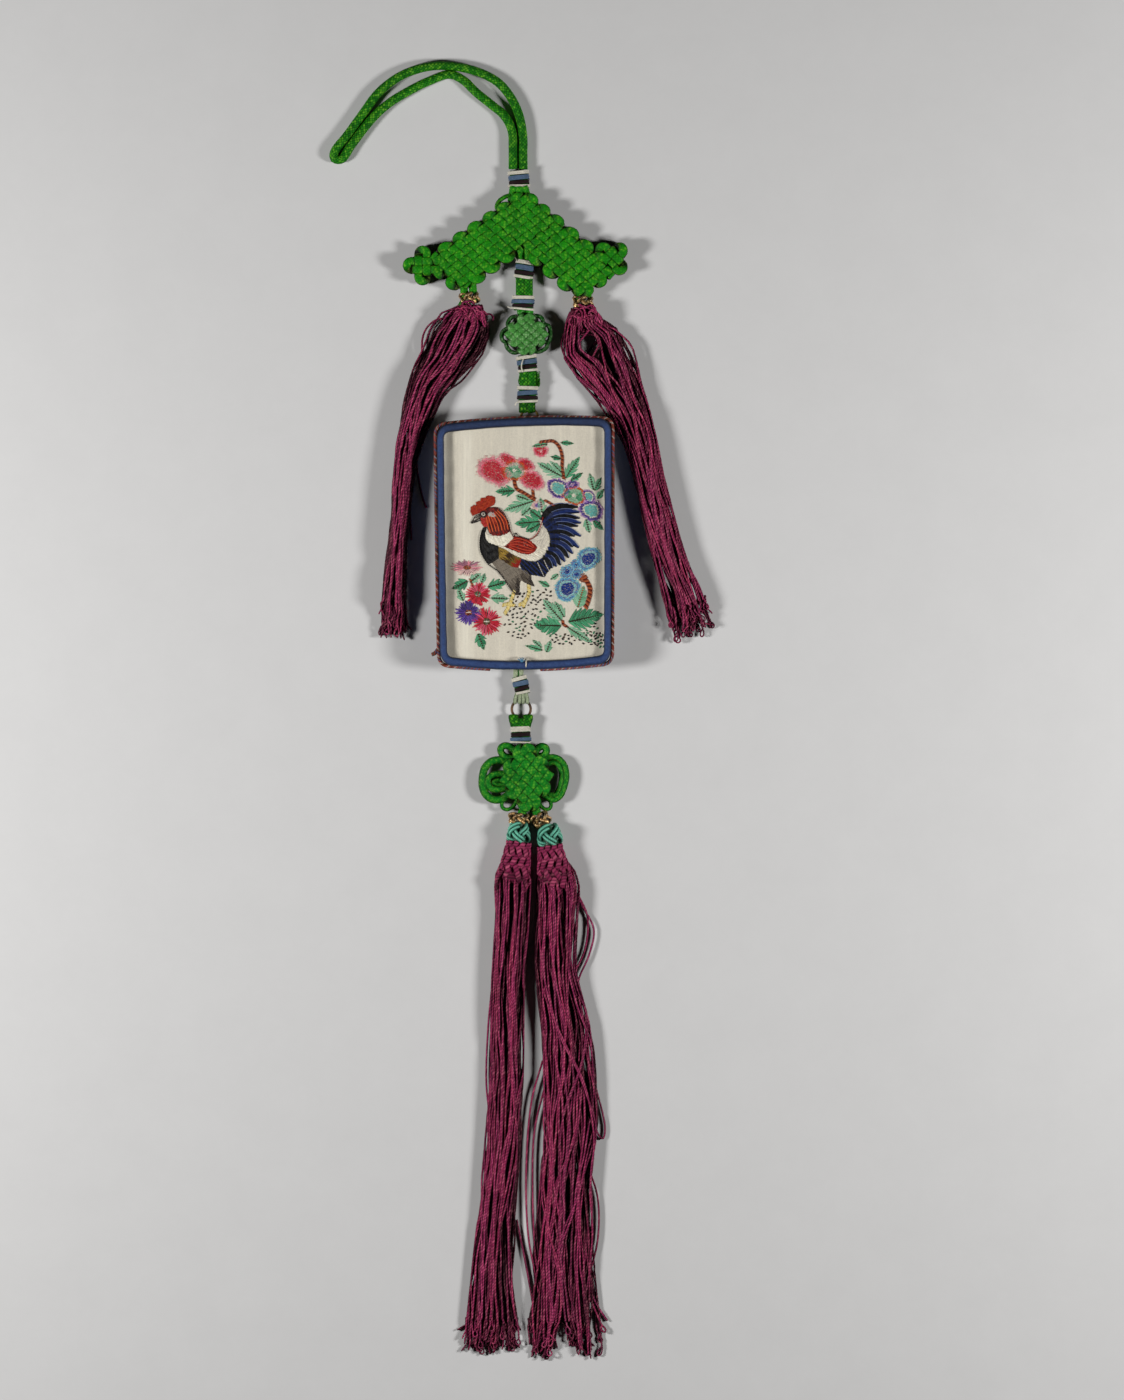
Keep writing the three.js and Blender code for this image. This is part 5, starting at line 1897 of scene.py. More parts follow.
def build_tassels(finishes: Finishes) -> None:
    """Builds the two side tassels and the two long lower ones.

    Args:
        finishes: all finishes.
    """
    left = Tassel(
        "tassel_left",
        (
            (-18.6, 80.8, 3.0), (-18.9, 78.0, 5.6), (-20.2, 74.4, 8.6), (-22.6, 69.4, 9.6),
            (-27.0, 61.6, 8.6), (-32.6, 53.6, 6.9), (-36.6, 43.5, 5.6), (-40.3, 28.2, 3.9),
            (-43.0, 2.0, 3.3), (-44.4, -20.0, 4.2), (-44.6, -30.5, 4.8),
        ),
        92, (7.2, 7.6),
        (
            (
                (-21.6, 75.2), (-25.8, 76.0), (-29.5, 76.0), (-32.9, 73.4), (-34.5, 70.1), (-34.9, 63.9),
                (-35.4, 58.0),
            ),
            ((-37.0, 30.0), (-36.0, 22.0), (-34.4, 14.6), (-33.2, 11.6), (-33.6, 12.6)),
            ((-14.4, 77.2), (-12.8, 77.8), (-11.3, 77.6), (-10.5, 76.5), (-10.9, 75.7)),
            ((-39.6, 16.0), (-38.8, 8.0), (-38.4, 1.0)),
        ),
    )
    left.build(finishes, LoopedHead(-18.5, 80.9, 8.4, 7.6, -12.0))
    right = Tassel(
        "tassel_right",
        (
            (20.0, 80.0, 3.0), (19.8, 77.8, 4.6), (20.2, 74.4, 6.9), (22.7, 68.5, 10.4), (27.2, 61.5, 10.4),
            (32.4, 51.0, 8.0), (37.8, 38.6, 6.0), (42.2, 22.0, 5.2), (48.6, -4.0, 5.8), (54.4, -20.0, 6.6),
            (57.4, -31.0, 7.2),
        ),
        92, (7.2, 6.8),
        (
            ((23.4, 73.6), (27.0, 72.6), (32.6, 66.8), (36.8, 58.6), (39.6, 50.0), (42.4, 38.0)),
            ((17.8, 75.6), (14.2, 72.6), (12.6, 67.0), (15.6, 60.6), (22.0, 53.4), (29.0, 46.0)),
        ),
        ((0.1, 0.05, -0.1, 0.3), (1.0, 0.05, 0.1, 0.12)),
    )
    right.build(finishes, LoopedHead(19.8, 79.8, 7.8, 7.6, 10.0))
    lower_left = Tassel(
        "tassel_lower_left",
        (
            (-3.2, -109.0, 4.6), (-3.8, -113.6, 5.9), (-4.0, -118.0, 6.0), (-4.1, -126.0, 5.6),
            (-5.6, -152.0, 5.6), (-6.0, -180.0, 5.6), (-7.3, -203.0, 6.0), (-9.4, -228.5, 6.2),
            (-10.6, -250.0, 7.4), (-11.0, -267.0, 8.8), (-11.2, -274.0, 9.2),
        ),
        92, (7.0, 3.4),
        (
            (
                (-6.6, -118.0), (-9.6, -129.0), (-10.8, -148.0), (-12.4, -166.0), (-12.8, -186.0),
                (-10.0, -204.0),
            ),
            ((-2.6, -230.0), (0.6, -246.0), (3.0, -260.0), (3.8, -270.0), (5.8, -275.4)),
        ),
        ((1.0, 0.03, 0.35, 0.08),),
    )
    lower_left.build(finishes, NettedHead((-1.9, -101.6), (-4.1, -116.0), 4.3, 6.4))
    lower_right = Tassel(
        "tassel_lower_right",
        (
            (9.6, -109.0, 4.8), (10.8, -113.6, 6.6), (11.4, -118.0, 7.2), (11.2, -126.0, 6.9),
            (10.8, -146.0, 6.8), (14.6, -169.0, 8.4), (15.7, -196.0, 9.0), (14.4, -221.0, 9.0),
            (13.2, -248.0, 10.4), (13.4, -267.0, 12.2), (13.6, -275.0, 12.8),
        ),
        108, (7.0, 3.4),
        (
            (
                (16.6, -117.6), (20.0, -124.0), (23.6, -131.4), (22.0, -140.0), (18.6, -148.0),
                (17.4, -156.0),
            ),
            ((18.0, -119.0), (21.4, -127.0), (20.6, -138.0), (17.0, -146.0)),
            (
                (20.6, -170.0), (24.0, -184.0), (27.4, -199.0), (26.6, -202.6), (25.0, -201.0),
                (23.6, -196.0),
            ),
            ((21.6, -212.0), (24.8, -222.0), (25.0, -236.0), (22.4, -248.0), (20.6, -256.0)),
            ((6.2, -176.0), (2.4, -190.0), (0.6, -214.0), (1.4, -236.0), (4.4, -252.0), (5.8, -262.0)),
            ((6.6, -186.0), (3.4, -200.0), (2.8, -222.0), (3.6, -240.0), (5.4, -254.0)),
            ((20.6, -250.0), (24.4, -258.6), (28.2, -264.4)),
            (
                (21.0, -254.0), (24.6, -262.0), (26.3, -265.8), (27.6, -267.2), (27.3, -268.4),
                (26.2, -267.6), (26.1, -266.0),
            ),
        ),
        ((1.0, 0.055, -0.05, 0.2),),
    )
    lower_right.build(finishes, NettedHead((8.6, -102.8), (10.7, -116.6), 4.3, 7.0))


# Case


@dataclass
class CaseOutline:
    """Outline of the case, with rounded corners and sides that swell."""

    corner: float = 4.2
    corners: Points = ((-28.6, -41.75), (29.4, -41.2), (29.5, 42.2), (-29.8, 40.1))
    swells: tuple[float, float, float, float] = (1.4, 0.1, 0.95, 0.1)

    def loop(self, inset_x: float, inset_y: float, step: float) -> Path:
        """Closed outline, inset from the edge.

        Args:
            inset_x: how far the sides lie inside.
            inset_y: how far the top and bottom lie inside.
            step: distance between two points.

        Returns:
            Points counter-clockwise from the middle of the bottom.
        """
        inward = -np.sign(self.corners) * np.array((inset_x, inset_y))
        corners = np.array(self.corners) + inward
        parts = []
        share = np.linspace(0.0, 1.0, 25)[:, None]
        for i, swell in enumerate(self.swells):
            here, there, after = (corners[(i + k) % 4] for k in range(3))
            run, turn = unit(there - here), unit(after - there)
            start, end = here + run * self.corner, there - run * self.corner
            middle = (here + there) / 2 + np.array((run[1], -run[0])) * 2 * swell
            onward = there + turn * self.corner
            for first, pull, last in ((start, middle, end), (end, there, onward)):
                curve = (1 - share) ** 2 * first + 2 * share * (1 - share) * pull + share**2 * last
                parts.append(curve[:-1])
        loop = np.vstack(parts)
        shift = np.argmin(np.abs(loop[:, 0]) + 10 * (loop[:, 1] > 0))
        return evenly(np.roll(loop, -shift, axis=0), step, closed=True)


@dataclass
class Case:
    """Flat pocket: satin front and back, silk gusset, rolled ribbon rim and twisted trim."""

    finishes: Finishes
    outline: CaseOutline
    front: float = 9.1
    piping_level: float = 10.75
    piping_half: float = 1.22
    tuck: float = 1.7
    flat_half: Point = (22.6, 38.6)
    rise: Point = (5.0, 1.6)
    lip: float = 0.5
    pull: float = 0.16
    ripple: float = 0.05
    satin: float = 0.9
    satin_grid: tuple[int, int] = (92, 132)
    back_inset: Point = (0.6, 1.0)
    back_thick: float = 1.2
    back_round: float = 0.4
    gusset_inset: Point = (1.65, 2.65)
    gusset_level: float = 4.55
    mouth: float = 36.0
    gusset_section: Points = (
        (0.62, -3.0), (0.95, -1.2), (0.95, 1.2), (0.62, 3.0), (-0.62, 3.0), (-0.62, -3.0),
    )
    crease: Point = (0.06, 0.2)
    trim_inset: Point = (-0.4, -0.2)
    trim_step: float = 0.32
    trim_level: float = 9.4
    trim_gap: Point = (-11.7, 5.3)
    trim_strand: float = 0.37
    trim_twist: Point = (0.34, 2.5)
    stub: tuple[Row, ...] = ((-29.3, -36.2, 9.4), (-30.4, -37.6, 9.2), (-31.3, -38.0, 8.8))
    stitch: tuple[Row, ...] = (
        (0.6, -39.4, 10.2), (0.6, -40.4, 12.0), (0.56, -41.8, 12.2), (0.5, -43.0, 10.6),
    )
    fray_root: Point = (-0.9, -40.6)
    fray_leans: Row = (-50.0, -22.0, 4.0, 26.0, 58.0)
    fray_reach: float = 1.7

    def height(self, x: Array, y: Array) -> Array:
        """Height of the satin front: flat, turned up under the rim, with soft pulls along its sides.

        Args:
            x: places across.
            y: places along.

        Returns:
            Heights at those places.
        """
        to_side = np.clip((np.abs(x) - self.flat_half[0]) / self.rise[0], 0.0, 1.0)
        to_end = np.clip((np.abs(y) - self.flat_half[1]) / self.rise[1], 0.0, 1.0)
        turned_up = self.lip * np.maximum(np.clip(to_side * 3 - 2, 0.0, 1.0), to_end) ** 2
        pulls = self.pull * to_side * np.sin(y * 0.9 + 1.3 * np.sin(y * 0.31))
        return self.front + turned_up + pulls + self.ripple * np.sin(x * 0.5) * np.sin(y * 0.17)

    def build(self) -> None:
        """Builds the case and the needlework on its front."""
        satin = self.build_front()
        needlework = Needlework(self).build()
        self.build_back()
        self.build_gusset()
        self.build_piping()
        self.build_trim()

    def build_front(self) -> Object:
        """Stretches the satin over the front, turned up under the rim.

        Returns:
            The satin.
        """
        bm = bmesh.new()
        columns, rows = self.satin_grid
        bmesh.ops.create_grid(bm, x_segments=columns, y_segments=rows, size=1.0)
        corners = np.array(self.outline.corners)
        low_left, low_right, high_right, high_left = corners - np.sign(corners) * self.tuck
        for vert in bm.verts:
            across, along = (vert.co.x + 1) / 2, (vert.co.y + 1) / 2
            low = low_left * (1 - across) + low_right * across
            high = high_left * (1 - across) + high_right * across
            x, y = low * (1 - along) + high * along
            vert.co = Vector((x, y, float(self.height(x, y)))) * MM
        bmesh.ops.recalc_face_normals(bm, faces=bm.faces[:])
        bmesh.ops.solidify(bm, geom=bm.faces[:], thickness=self.satin * MM)
        return settle(from_bmesh("satin_front", bm, self.finishes.satin), Slot.SATIN, "front_panel")

    def build_back(self) -> None:
        """Makes the back: a card covered in satin, with rounded edges."""
        loop = self.outline.loop(*self.back_inset, 1.6)
        bm = bmesh.new()
        face = bm.faces.new([bm.verts.new((*(point * MM), 0.0)) for point in loop])
        grown = bmesh.ops.extrude_face_region(bm, geom=[face])
        top = [item for item in grown["geom"] if isinstance(item, bmesh.types.BMVert)]
        bmesh.ops.translate(bm, verts=top, vec=UP * self.back_thick * MM)
        rims = [edge for edge in bm.edges if edge.verts[0].co.z == edge.verts[1].co.z]
        bmesh.ops.bevel(
            bm, geom=rims, offset=self.back_round * MM, affect="EDGES", segments=3, profile=0.5,
            material=-1,
        )
        piece = settle(from_bmesh("satin_back", bm, self.finishes.satin), Slot.SATIN, "back_panel")

    def build_gusset(self) -> None:
        """Runs the silk gusset round the sides and the bottom, open at the mouth."""
        loop = self.outline.loop(*self.gusset_inset, 0.8)
        loop = np.roll(loop, -np.argmax(loop[:, 1]), axis=0)
        path = at_level(loop[loop[:, 1] < self.mouth], self.gusset_level)
        work = ThreadWork("gusset_silk")
        work.sweep(path, 1.0, np.ones(3), section=np.array(self.gusset_section))
        settle(work.build(self.finishes.ribbon), Slot.BLUE_SILK, "gusset")

    def build_piping(self) -> None:
        """Rolls the ribbon round the rim, with a crease along its crown."""
        loop = self.outline.loop(self.piping_half, self.piping_half, 0.7)
        angles = 2 * np.pi * np.arange(20) / 20
        wide, high = np.cos(angles), np.sin(angles)
        deep, broad = self.crease
        section = np.column_stack((wide, high - deep * np.exp(-((wide / broad) ** 2)) * (high > 0)))
        run = np.arange(len(loop))
        level_share = unit(np.roll(loop, -1, axis=0) - np.roll(loop, 1, axis=0))[:, 0] ** 2
        uneven = 1.0 + 0.2 * level_share + 0.03 * np.sin(run * 0.21) + 0.025 * np.sin(run * 0.53 + 1.0)
        # Painted shade: the top run is darker, by up to half where it runs across.
        shade = (1.0 - 0.5 * level_share * (loop[:, 1] > 0))[None, :, None] * np.ones(3)
        work = ThreadWork("piping_ribbon")
        path = at_level(loop, self.piping_level)
        work.sweep(path, self.piping_half * uneven, shade, closed=True, section=section, edge=0.22)
        settle(work.build(self.finishes.ribbon), Slot.BLUE_SILK, "piping")

    def build_trim(self) -> None:
        """Twists the trim of many colours round the side, open where its ends meet."""
        loop = self.outline.loop(*self.trim_inset, self.trim_step)
        left, right = self.trim_gap
        keep = ~((loop[:, 1] < 0) & (loop[:, 0] > left) & (loop[:, 0] < right))
        first = int(np.argmax(~keep[:-1] & keep[1:])) + 1
        path = at_level(np.roll(loop, -first, axis=0)[: int(keep.sum())], self.trim_level)
        chance = default_rng(SEED + 7)
        work = ThreadWork("edge_trim")
        self.twist(work, path, chance)
        self.twist(work, evenly(np.array(self.stub), 0.3), chance)
        work.sweep(flowing(self.stitch, 0.3), 0.24, Silk.CREAM.colour, sides=6)
        root = np.array(self.fray_root)
        for lean in np.radians(self.fray_leans):
            tip = np.array((np.sin(lean), np.cos(lean))) * self.fray_reach
            fray = [(*root, 11.9), (*(root + tip * (0.5, 0.6)), 12.0), (*(root + tip), 10.4)]
            work.sweep(flowing(fray, 0.3), 0.16, Silk.SKY.colour, sides=5)
        settle(work.build(self.finishes.trim), Slot.TWISTED, "edge_cord")

    def twist(self, work: ThreadWork, path: Path, chance: Generator) -> None:
        """Twists four strands round a line.

        Args:
            work: mesh that takes the strands.
            path: line that they follow.
            chance: source of the strands' colours.
        """
        strands = (
            dyed("trim_red brown trim_red"), dyed("trim_pale trim_blue trim_pale dun"),
            dyed("brown trim_red trim_red"), dyed("soot brown trim_blue trim_red"),
        )
        side = unit(np.cross(unit(np.gradient(path, axis=0)), UP))
        out, repeat = self.trim_twist
        place = np.arange(len(path))
        marks = np.arange(0, len(path) + 24, 12)
        for k, silks in enumerate(strands):
            angle = 2 * np.pi * (place * self.trim_step) / repeat + k * np.pi / 2
            offset = out * (np.cos(angle)[:, None] * side + np.sin(angle)[:, None] * UP)
            colours = np.array([silks[pick].colour for pick in chance.integers(0, len(silks), len(marks))])
            tint = np.stack([np.interp(place, marks, colours[:, c]) for c in range(3)], axis=1)
            work.sweep(path + offset, self.trim_strand, tint[None], sides=5, edge=0.5)


# Needlework


class Shade(Enum):
    """How threads of several colours are shared over a patch."""

    MIXED = "mixed"
    STRIPED = "striped"
    ALONG = "along"


@dataclass
class Patch:
    """Area filled with parallel stitches."""

    outline: Points
    angle: float
    threads: tuple[Silk, ...]
    shade: Shade = Shade.MIXED
    stripe: int = 1
    long: float = 2.2
    level: float = 0.0
    pitch: float = 0.19


@dataclass
class Leaf:
    """Leaf from its foot to its tip, stitched out from a vein."""

    foot: Point
    tip: Point
    wide: float
    threads: tuple[Silk, Silk]
    vein: Silk = Silk.UMBER


@dataclass
class Petal:
    """Oval filled with small knots in bands from its middle to its rim."""

    x: float
    y: float
    long: float
    wide: float
    turn: float
    bands: tuple[tuple[float, Silk], ...]
    quarters: tuple[Silk, Silk] | None = None


@dataclass
class Aster:
    """Flower of straight stitches round a heart."""

    x: float
    y: float
    reach: float
    squash: float
    threads: tuple[Silk, ...]
    heart: tuple[Silk, ...]
    dark: Silk


@dataclass
class Feather:
    """Curved feather from its root to its tip."""

    root: Point
    bend: Point
    tip: Point
    wide: float
    threads: tuple[Silk, ...]


PINK_BANDS = (
    (0.6, Silk.CRIMSON), (0.72, Silk.SCARLET), (0.86, Silk.ROSE), (1.06, Silk.PINK), (1.24, Silk.BLUSH),
)
AQUA_BANDS = (
    (0.62, Silk.AQUA), (0.74, Silk.IVORY), (0.92, Silk.VIOLET), (1.0, Silk.PURPLE), (1.16, Silk.LILAC),
)
BLUE_BANDS = ((0.56, Silk.COBALT), (0.76, Silk.ICE), (0.82, Silk.SLATE), (1.0, Silk.SKY), (1.1, Silk.ICE))
BLUE_SMALL = ((0.34, Silk.COBALT), (0.7, Silk.SKY), (0.84, Silk.SLATE), (1.0, Silk.ICE), (1.12, Silk.SKY))
CENTRE_BANDS = (
    (0.2, Silk.WHITE), (0.34, Silk.MINT), (0.82, Silk.LEAF), (0.9, Silk.GOLD), (1.12, Silk.ORANGE),
)
DARK_LEAF = dyed("leaf fern")
LIGHT_LEAF = dyed("sage mint")
MID_LEAF = dyed("leaf sage")


class Needlework:
    """Bird among flowers, stitched in silk on the satin front."""

    thread = 0.3
    overlap = 0.12
    knot_pitch = 0.44
    tooth = 1.8
    broad_leaf = 1.7
    rays = 58
    heart_knots = 34
    heart_share = 0.27
    feather_steps = 13
    seed_gap = 1.05
    seed_wide = 0.54
    seed_silks = dyed("charcoal fern soot charcoal umber")
    eye = (-14.0, 9.6)

    bird = (
        Patch(
            (
                (4.0, 1.1), (6.3, 5.6), (7.6, 4.4), (8.4, 2.2), (8.3, -0.3), (7.2, -2.9), (5.2, -5.4),
                (2.3, -6.3), (-0.8, -5.2), (-3.3, -4.3), (-6.1, -2.4), (-7.0, -1.4), (-4.4, 0.2),
                (2.0, 1.0),
            ),
            -32, dyed("white cream ivory"), long=1.8,
        ),
        Patch(
            (
                (2.4, 1.0), (4.6, 2.4), (6.2, 5.4), (7.3, 4.4), (8.1, 2.2), (7.9, -0.2), (6.6, -2.0),
                (4.8, -1.2),
            ),
            62, dyed("stone cream cream"), long=1.6, level=0.06,
        ),
        Patch(
            (
                (-9.0, -1.3), (-6.7, -2.3), (-3.3, -4.4), (-1.1, -5.4), (-1.5, -7.1), (-2.2, -8.5),
                (-4.4, -8.2), (-6.7, -6.5), (-8.5, -5.4), (-8.8, -3.4),
            ),
            -38, dyed("olive gold umber olive brick"), Shade.ALONG, long=1.6,
        ),
        Patch(
            (
                (-10.9, -6.8), (-9.0, -5.4), (-7.0, -6.2), (-4.4, -8.1), (-2.2, -8.5), (0.6, -9.6),
                (2.3, -11.0), (2.3, -12.4), (3.4, -14.8), (1.8, -14.4), (-1.3, -12.7), (-1.6, -14.4),
                (-1.9, -17.8), (-2.8, -17.5), (-4.7, -15.5), (-6.7, -12.4), (-9.0, -9.6),
            ),
            -52, dyed("grey grey grey dun soot"), Shade.ALONG, long=2.0,
        ),
        Patch(
            (
                (-1.1, -5.4), (1.2, -6.2), (3.7, -6.4), (6.3, -5.1), (8.0, -5.4), (9.7, -6.5), (8.5, -9.3),
                (7.4, -10.7), (6.8, -11.7), (4.3, -11.2), (1.5, -10.9), (-0.8, -9.6), (-1.6, -7.4),
            ),
            -44, dyed("midnight navy black midnight navy black"), Shade.STRIPED, 2,
        ),
        Patch(
            (
                (-13.9, 5.2), (-12.8, 5.3), (-13.2, 3.6), (-13.2, 1.4), (-11.8, 0.0), (-9.0, -1.1),
                (-8.7, -3.4), (-8.7, -5.4), (-10.9, -6.8), (-12.1, -7.3), (-13.9, -5.1), (-14.9, -2.6),
                (-15.2, 0.0), (-14.9, 2.5), (-14.5, 4.2),
            ),
            -78, dyed("black black charcoal"), long=2.6,
        ),
        Patch(
            (
                (-13.2, 3.8), (-12.8, 2.8), (-10.9, 2.4), (-8.1, 2.2), (-4.9, 3.9), (-3.6, 1.7),
                (-4.4, 0.5), (-6.7, -1.4), (-9.0, -1.0), (-11.8, -0.2), (-12.9, 1.1), (-13.3, 2.5),
            ),
            -62, dyed("white white ivory"), long=1.8, level=0.06,
        ),
        Patch(
            (
                (-13.6, 11.0), (-11.8, 12.0), (-9.5, 11.7), (-7.5, 10.4), (-6.1, 8.2), (-5.3, 5.9),
                (-4.9, 3.9), (-6.1, 2.8), (-8.1, 2.4), (-10.4, 2.4), (-11.8, 3.1), (-12.6, 5.1),
                (-11.8, 6.9), (-12.8, 8.7), (-13.2, 9.8),
            ),
            -66, dyed("brick maroon maroon"), long=3.2, level=0.1,
        ),
        Patch(
            ((-14.9, 8.6), (-12.9, 8.6), (-11.8, 7.0), (-12.4, 5.6), (-13.7, 5.4), (-14.6, 6.7)), -70,
            dyed("scarlet vermilion"), long=1.2, level=0.14,
        ),
        Patch(
            (
                (-17.6, 9.1), (-18.3, 10.5), (-18.1, 12.0), (-17.1, 12.7), (-16.3, 12.5), (-16.3, 13.7),
                (-15.0, 14.2), (-14.6, 15.1), (-13.2, 15.2), (-12.6, 15.9), (-11.2, 15.8), (-10.1, 15.3),
                (-9.9, 13.8), (-10.5, 12.7), (-12.1, 12.0), (-13.6, 11.0), (-15.2, 10.0), (-16.6, 9.6),
            ),
            58, dyed("vermilion brick vermilion"), long=1.5, level=0.1,
        ),
        Patch(
            (
                (-18.1, 6.6), (-16.3, 9.3), (-15.0, 9.8), (-13.2, 9.9), (-13.2, 8.6), (-14.9, 7.9),
                (-16.3, 7.2),
            ),
            42, dyed("grey stone soot"), long=1.0, level=0.12,
        ),
        Patch(
            (
                (-7.0, -1.3), (-4.6, 0.5), (-3.5, 2.1), (-1.1, 1.9), (1.9, 0.8), (4.3, -1.4), (3.6, -3.0),
                (1.6, -4.1), (-1.1, -3.7), (-3.8, -2.7),
            ),
            -17, dyed("brick maroon brick"), long=3.0, level=0.12,
        ),
        Patch(
            ((-12.4, 9.7), (-11.6, 10.4), (-10.3, 10.0), (-9.8, 9.0), (-10.6, 8.7), (-12.2, 9.1)), -28,
            dyed("stone mauve stone"), long=1.2, level=0.34,
        ),
    )

    tail_root = Patch(
        (
            (6.2, 7.6), (8.6, 12.0), (11.8, 12.4), (15.0, 11.4), (15.6, 7.4), (15.6, 4.0), (15.2, 0.2),
            (13.6, -3.0), (11.6, -6.2), (8.8, -8.8), (7.2, -5.6), (8.4, -2.6), (8.7, 0.6), (8.2, 3.2),
            (7.0, 5.4),
        ),
        -12, dyed("midnight black black"), long=2.4,
    )

    tail = (
        Feather((6.4, 7.3), (8.0, 13.4), (18.0, 12.1), 1.9, dyed("black black charcoal")),
        Feather((6.7, 6.2), (10.2, 11.8), (18.7, 10.4), 1.5, dyed("navy midnight")),
        Feather((7.0, 5.4), (10.8, 10.2), (18.7, 8.3), 1.5, dyed("black midnight")),
        Feather((6.9, 5.0), (11.2, 8.8), (19.1, 6.7), 1.5, dyed("navy midnight")),
        Feather((8.0, 4.5), (11.6, 7.2), (18.1, 5.6), 1.4, dyed("black charcoal")),
        Feather((7.7, 4.3), (12.5, 6.4), (19.1, 2.2), 1.5, dyed("navy midnight")),
        Feather((8.2, 3.0), (12.2, 4.4), (17.0, 2.2), 1.4, dyed("black charcoal")),
        Feather((8.5, 1.9), (13.4, 3.0), (18.4, -1.7), 1.5, dyed("navy midnight")),
        Feather((8.8, 0.9), (12.8, 1.6), (16.4, -1.4), 1.4, dyed("black charcoal")),
        Feather((8.8, -0.2), (13.2, 0.4), (16.4, -3.7), 1.4, dyed("navy midnight")),
        Feather((8.4, -1.3), (12.4, -0.9), (15.0, -5.1), 1.5, dyed("black charcoal")),
        Feather((7.9, -2.5), (11.4, -2.0), (13.7, -6.4), 1.4, dyed("navy midnight")),
        Feather((7.2, -3.7), (10.5, -3.5), (12.2, -7.6), 1.4, dyed("black midnight")),
        Feather((6.8, -4.5), (9.4, -4.8), (10.8, -8.1), 1.2, dyed("navy midnight")),
        Feather((6.0, -5.0), (8.2, -5.8), (9.4, -8.6), 1.2, dyed("black midnight")),
    )

    petals = (
        Petal(-10.3, 24.3, 5.6, 4.0, -35, PINK_BANDS), Petal(-5.9, 28.0, 2.9, 2.0, -20, PINK_BANDS),
        Petal(0.4, 26.3, 2.9, 2.1, -25, PINK_BANDS), Petal(2.6, 21.2, 4.0, 2.9, -20, PINK_BANDS),
        Petal(
            5.6, 31.1, 2.4, 1.9, 0,
            ((0.2, Silk.BLUSH), (0.38, Silk.ROSE), (0.76, Silk.CRIMSON), *PINK_BANDS[2:]),
        ),
        Petal(11.5, 18.4, 3.7, 2.9, -30, AQUA_BANDS),
        Petal(16.3, 19.7, 2.0, 1.4, 0, ((0.4, Silk.LILAC), (0.84, Silk.VIOLET), (1.15, Silk.LILAC))),
        Petal(21.9, 15.6, 2.4, 1.8, -60, AQUA_BANDS), Petal(22.7, 10.9, 3.8, 3.2, -25, AQUA_BANDS),
        Petal(21.7, -5.4, 4.2, 3.3, 40, BLUE_BANDS), Petal(14.6, -15.7, 4.1, 3.8, 30, BLUE_BANDS),
        Petal(14.4, -9.9, 2.6, 2.0, 40, BLUE_SMALL), Petal(17.7, -10.6, 2.0, 1.7, 30, BLUE_SMALL),
        Petal(17.7, -7.3, 2.0, 1.6, 20, BLUE_SMALL),
        Petal(-3.4, 24.5, 4.1, 3.2, 8, CENTRE_BANDS, dyed("leaf mint")),
        Petal(16.9, 15.9, 3.7, 2.8, -12, CENTRE_BANDS, dyed("leaf mint")),
        Petal(4.6, 12.6, 1.9, 1.5, 0, ((0.4, Silk.PURPLE), (0.6, Silk.LILAC), (1.1, Silk.BLUSH))),
        Petal(20.0, -11.9, 1.3, 1.5, 0, ((0.7, Silk.RUST), (1.1, Silk.BROWN))),
    )

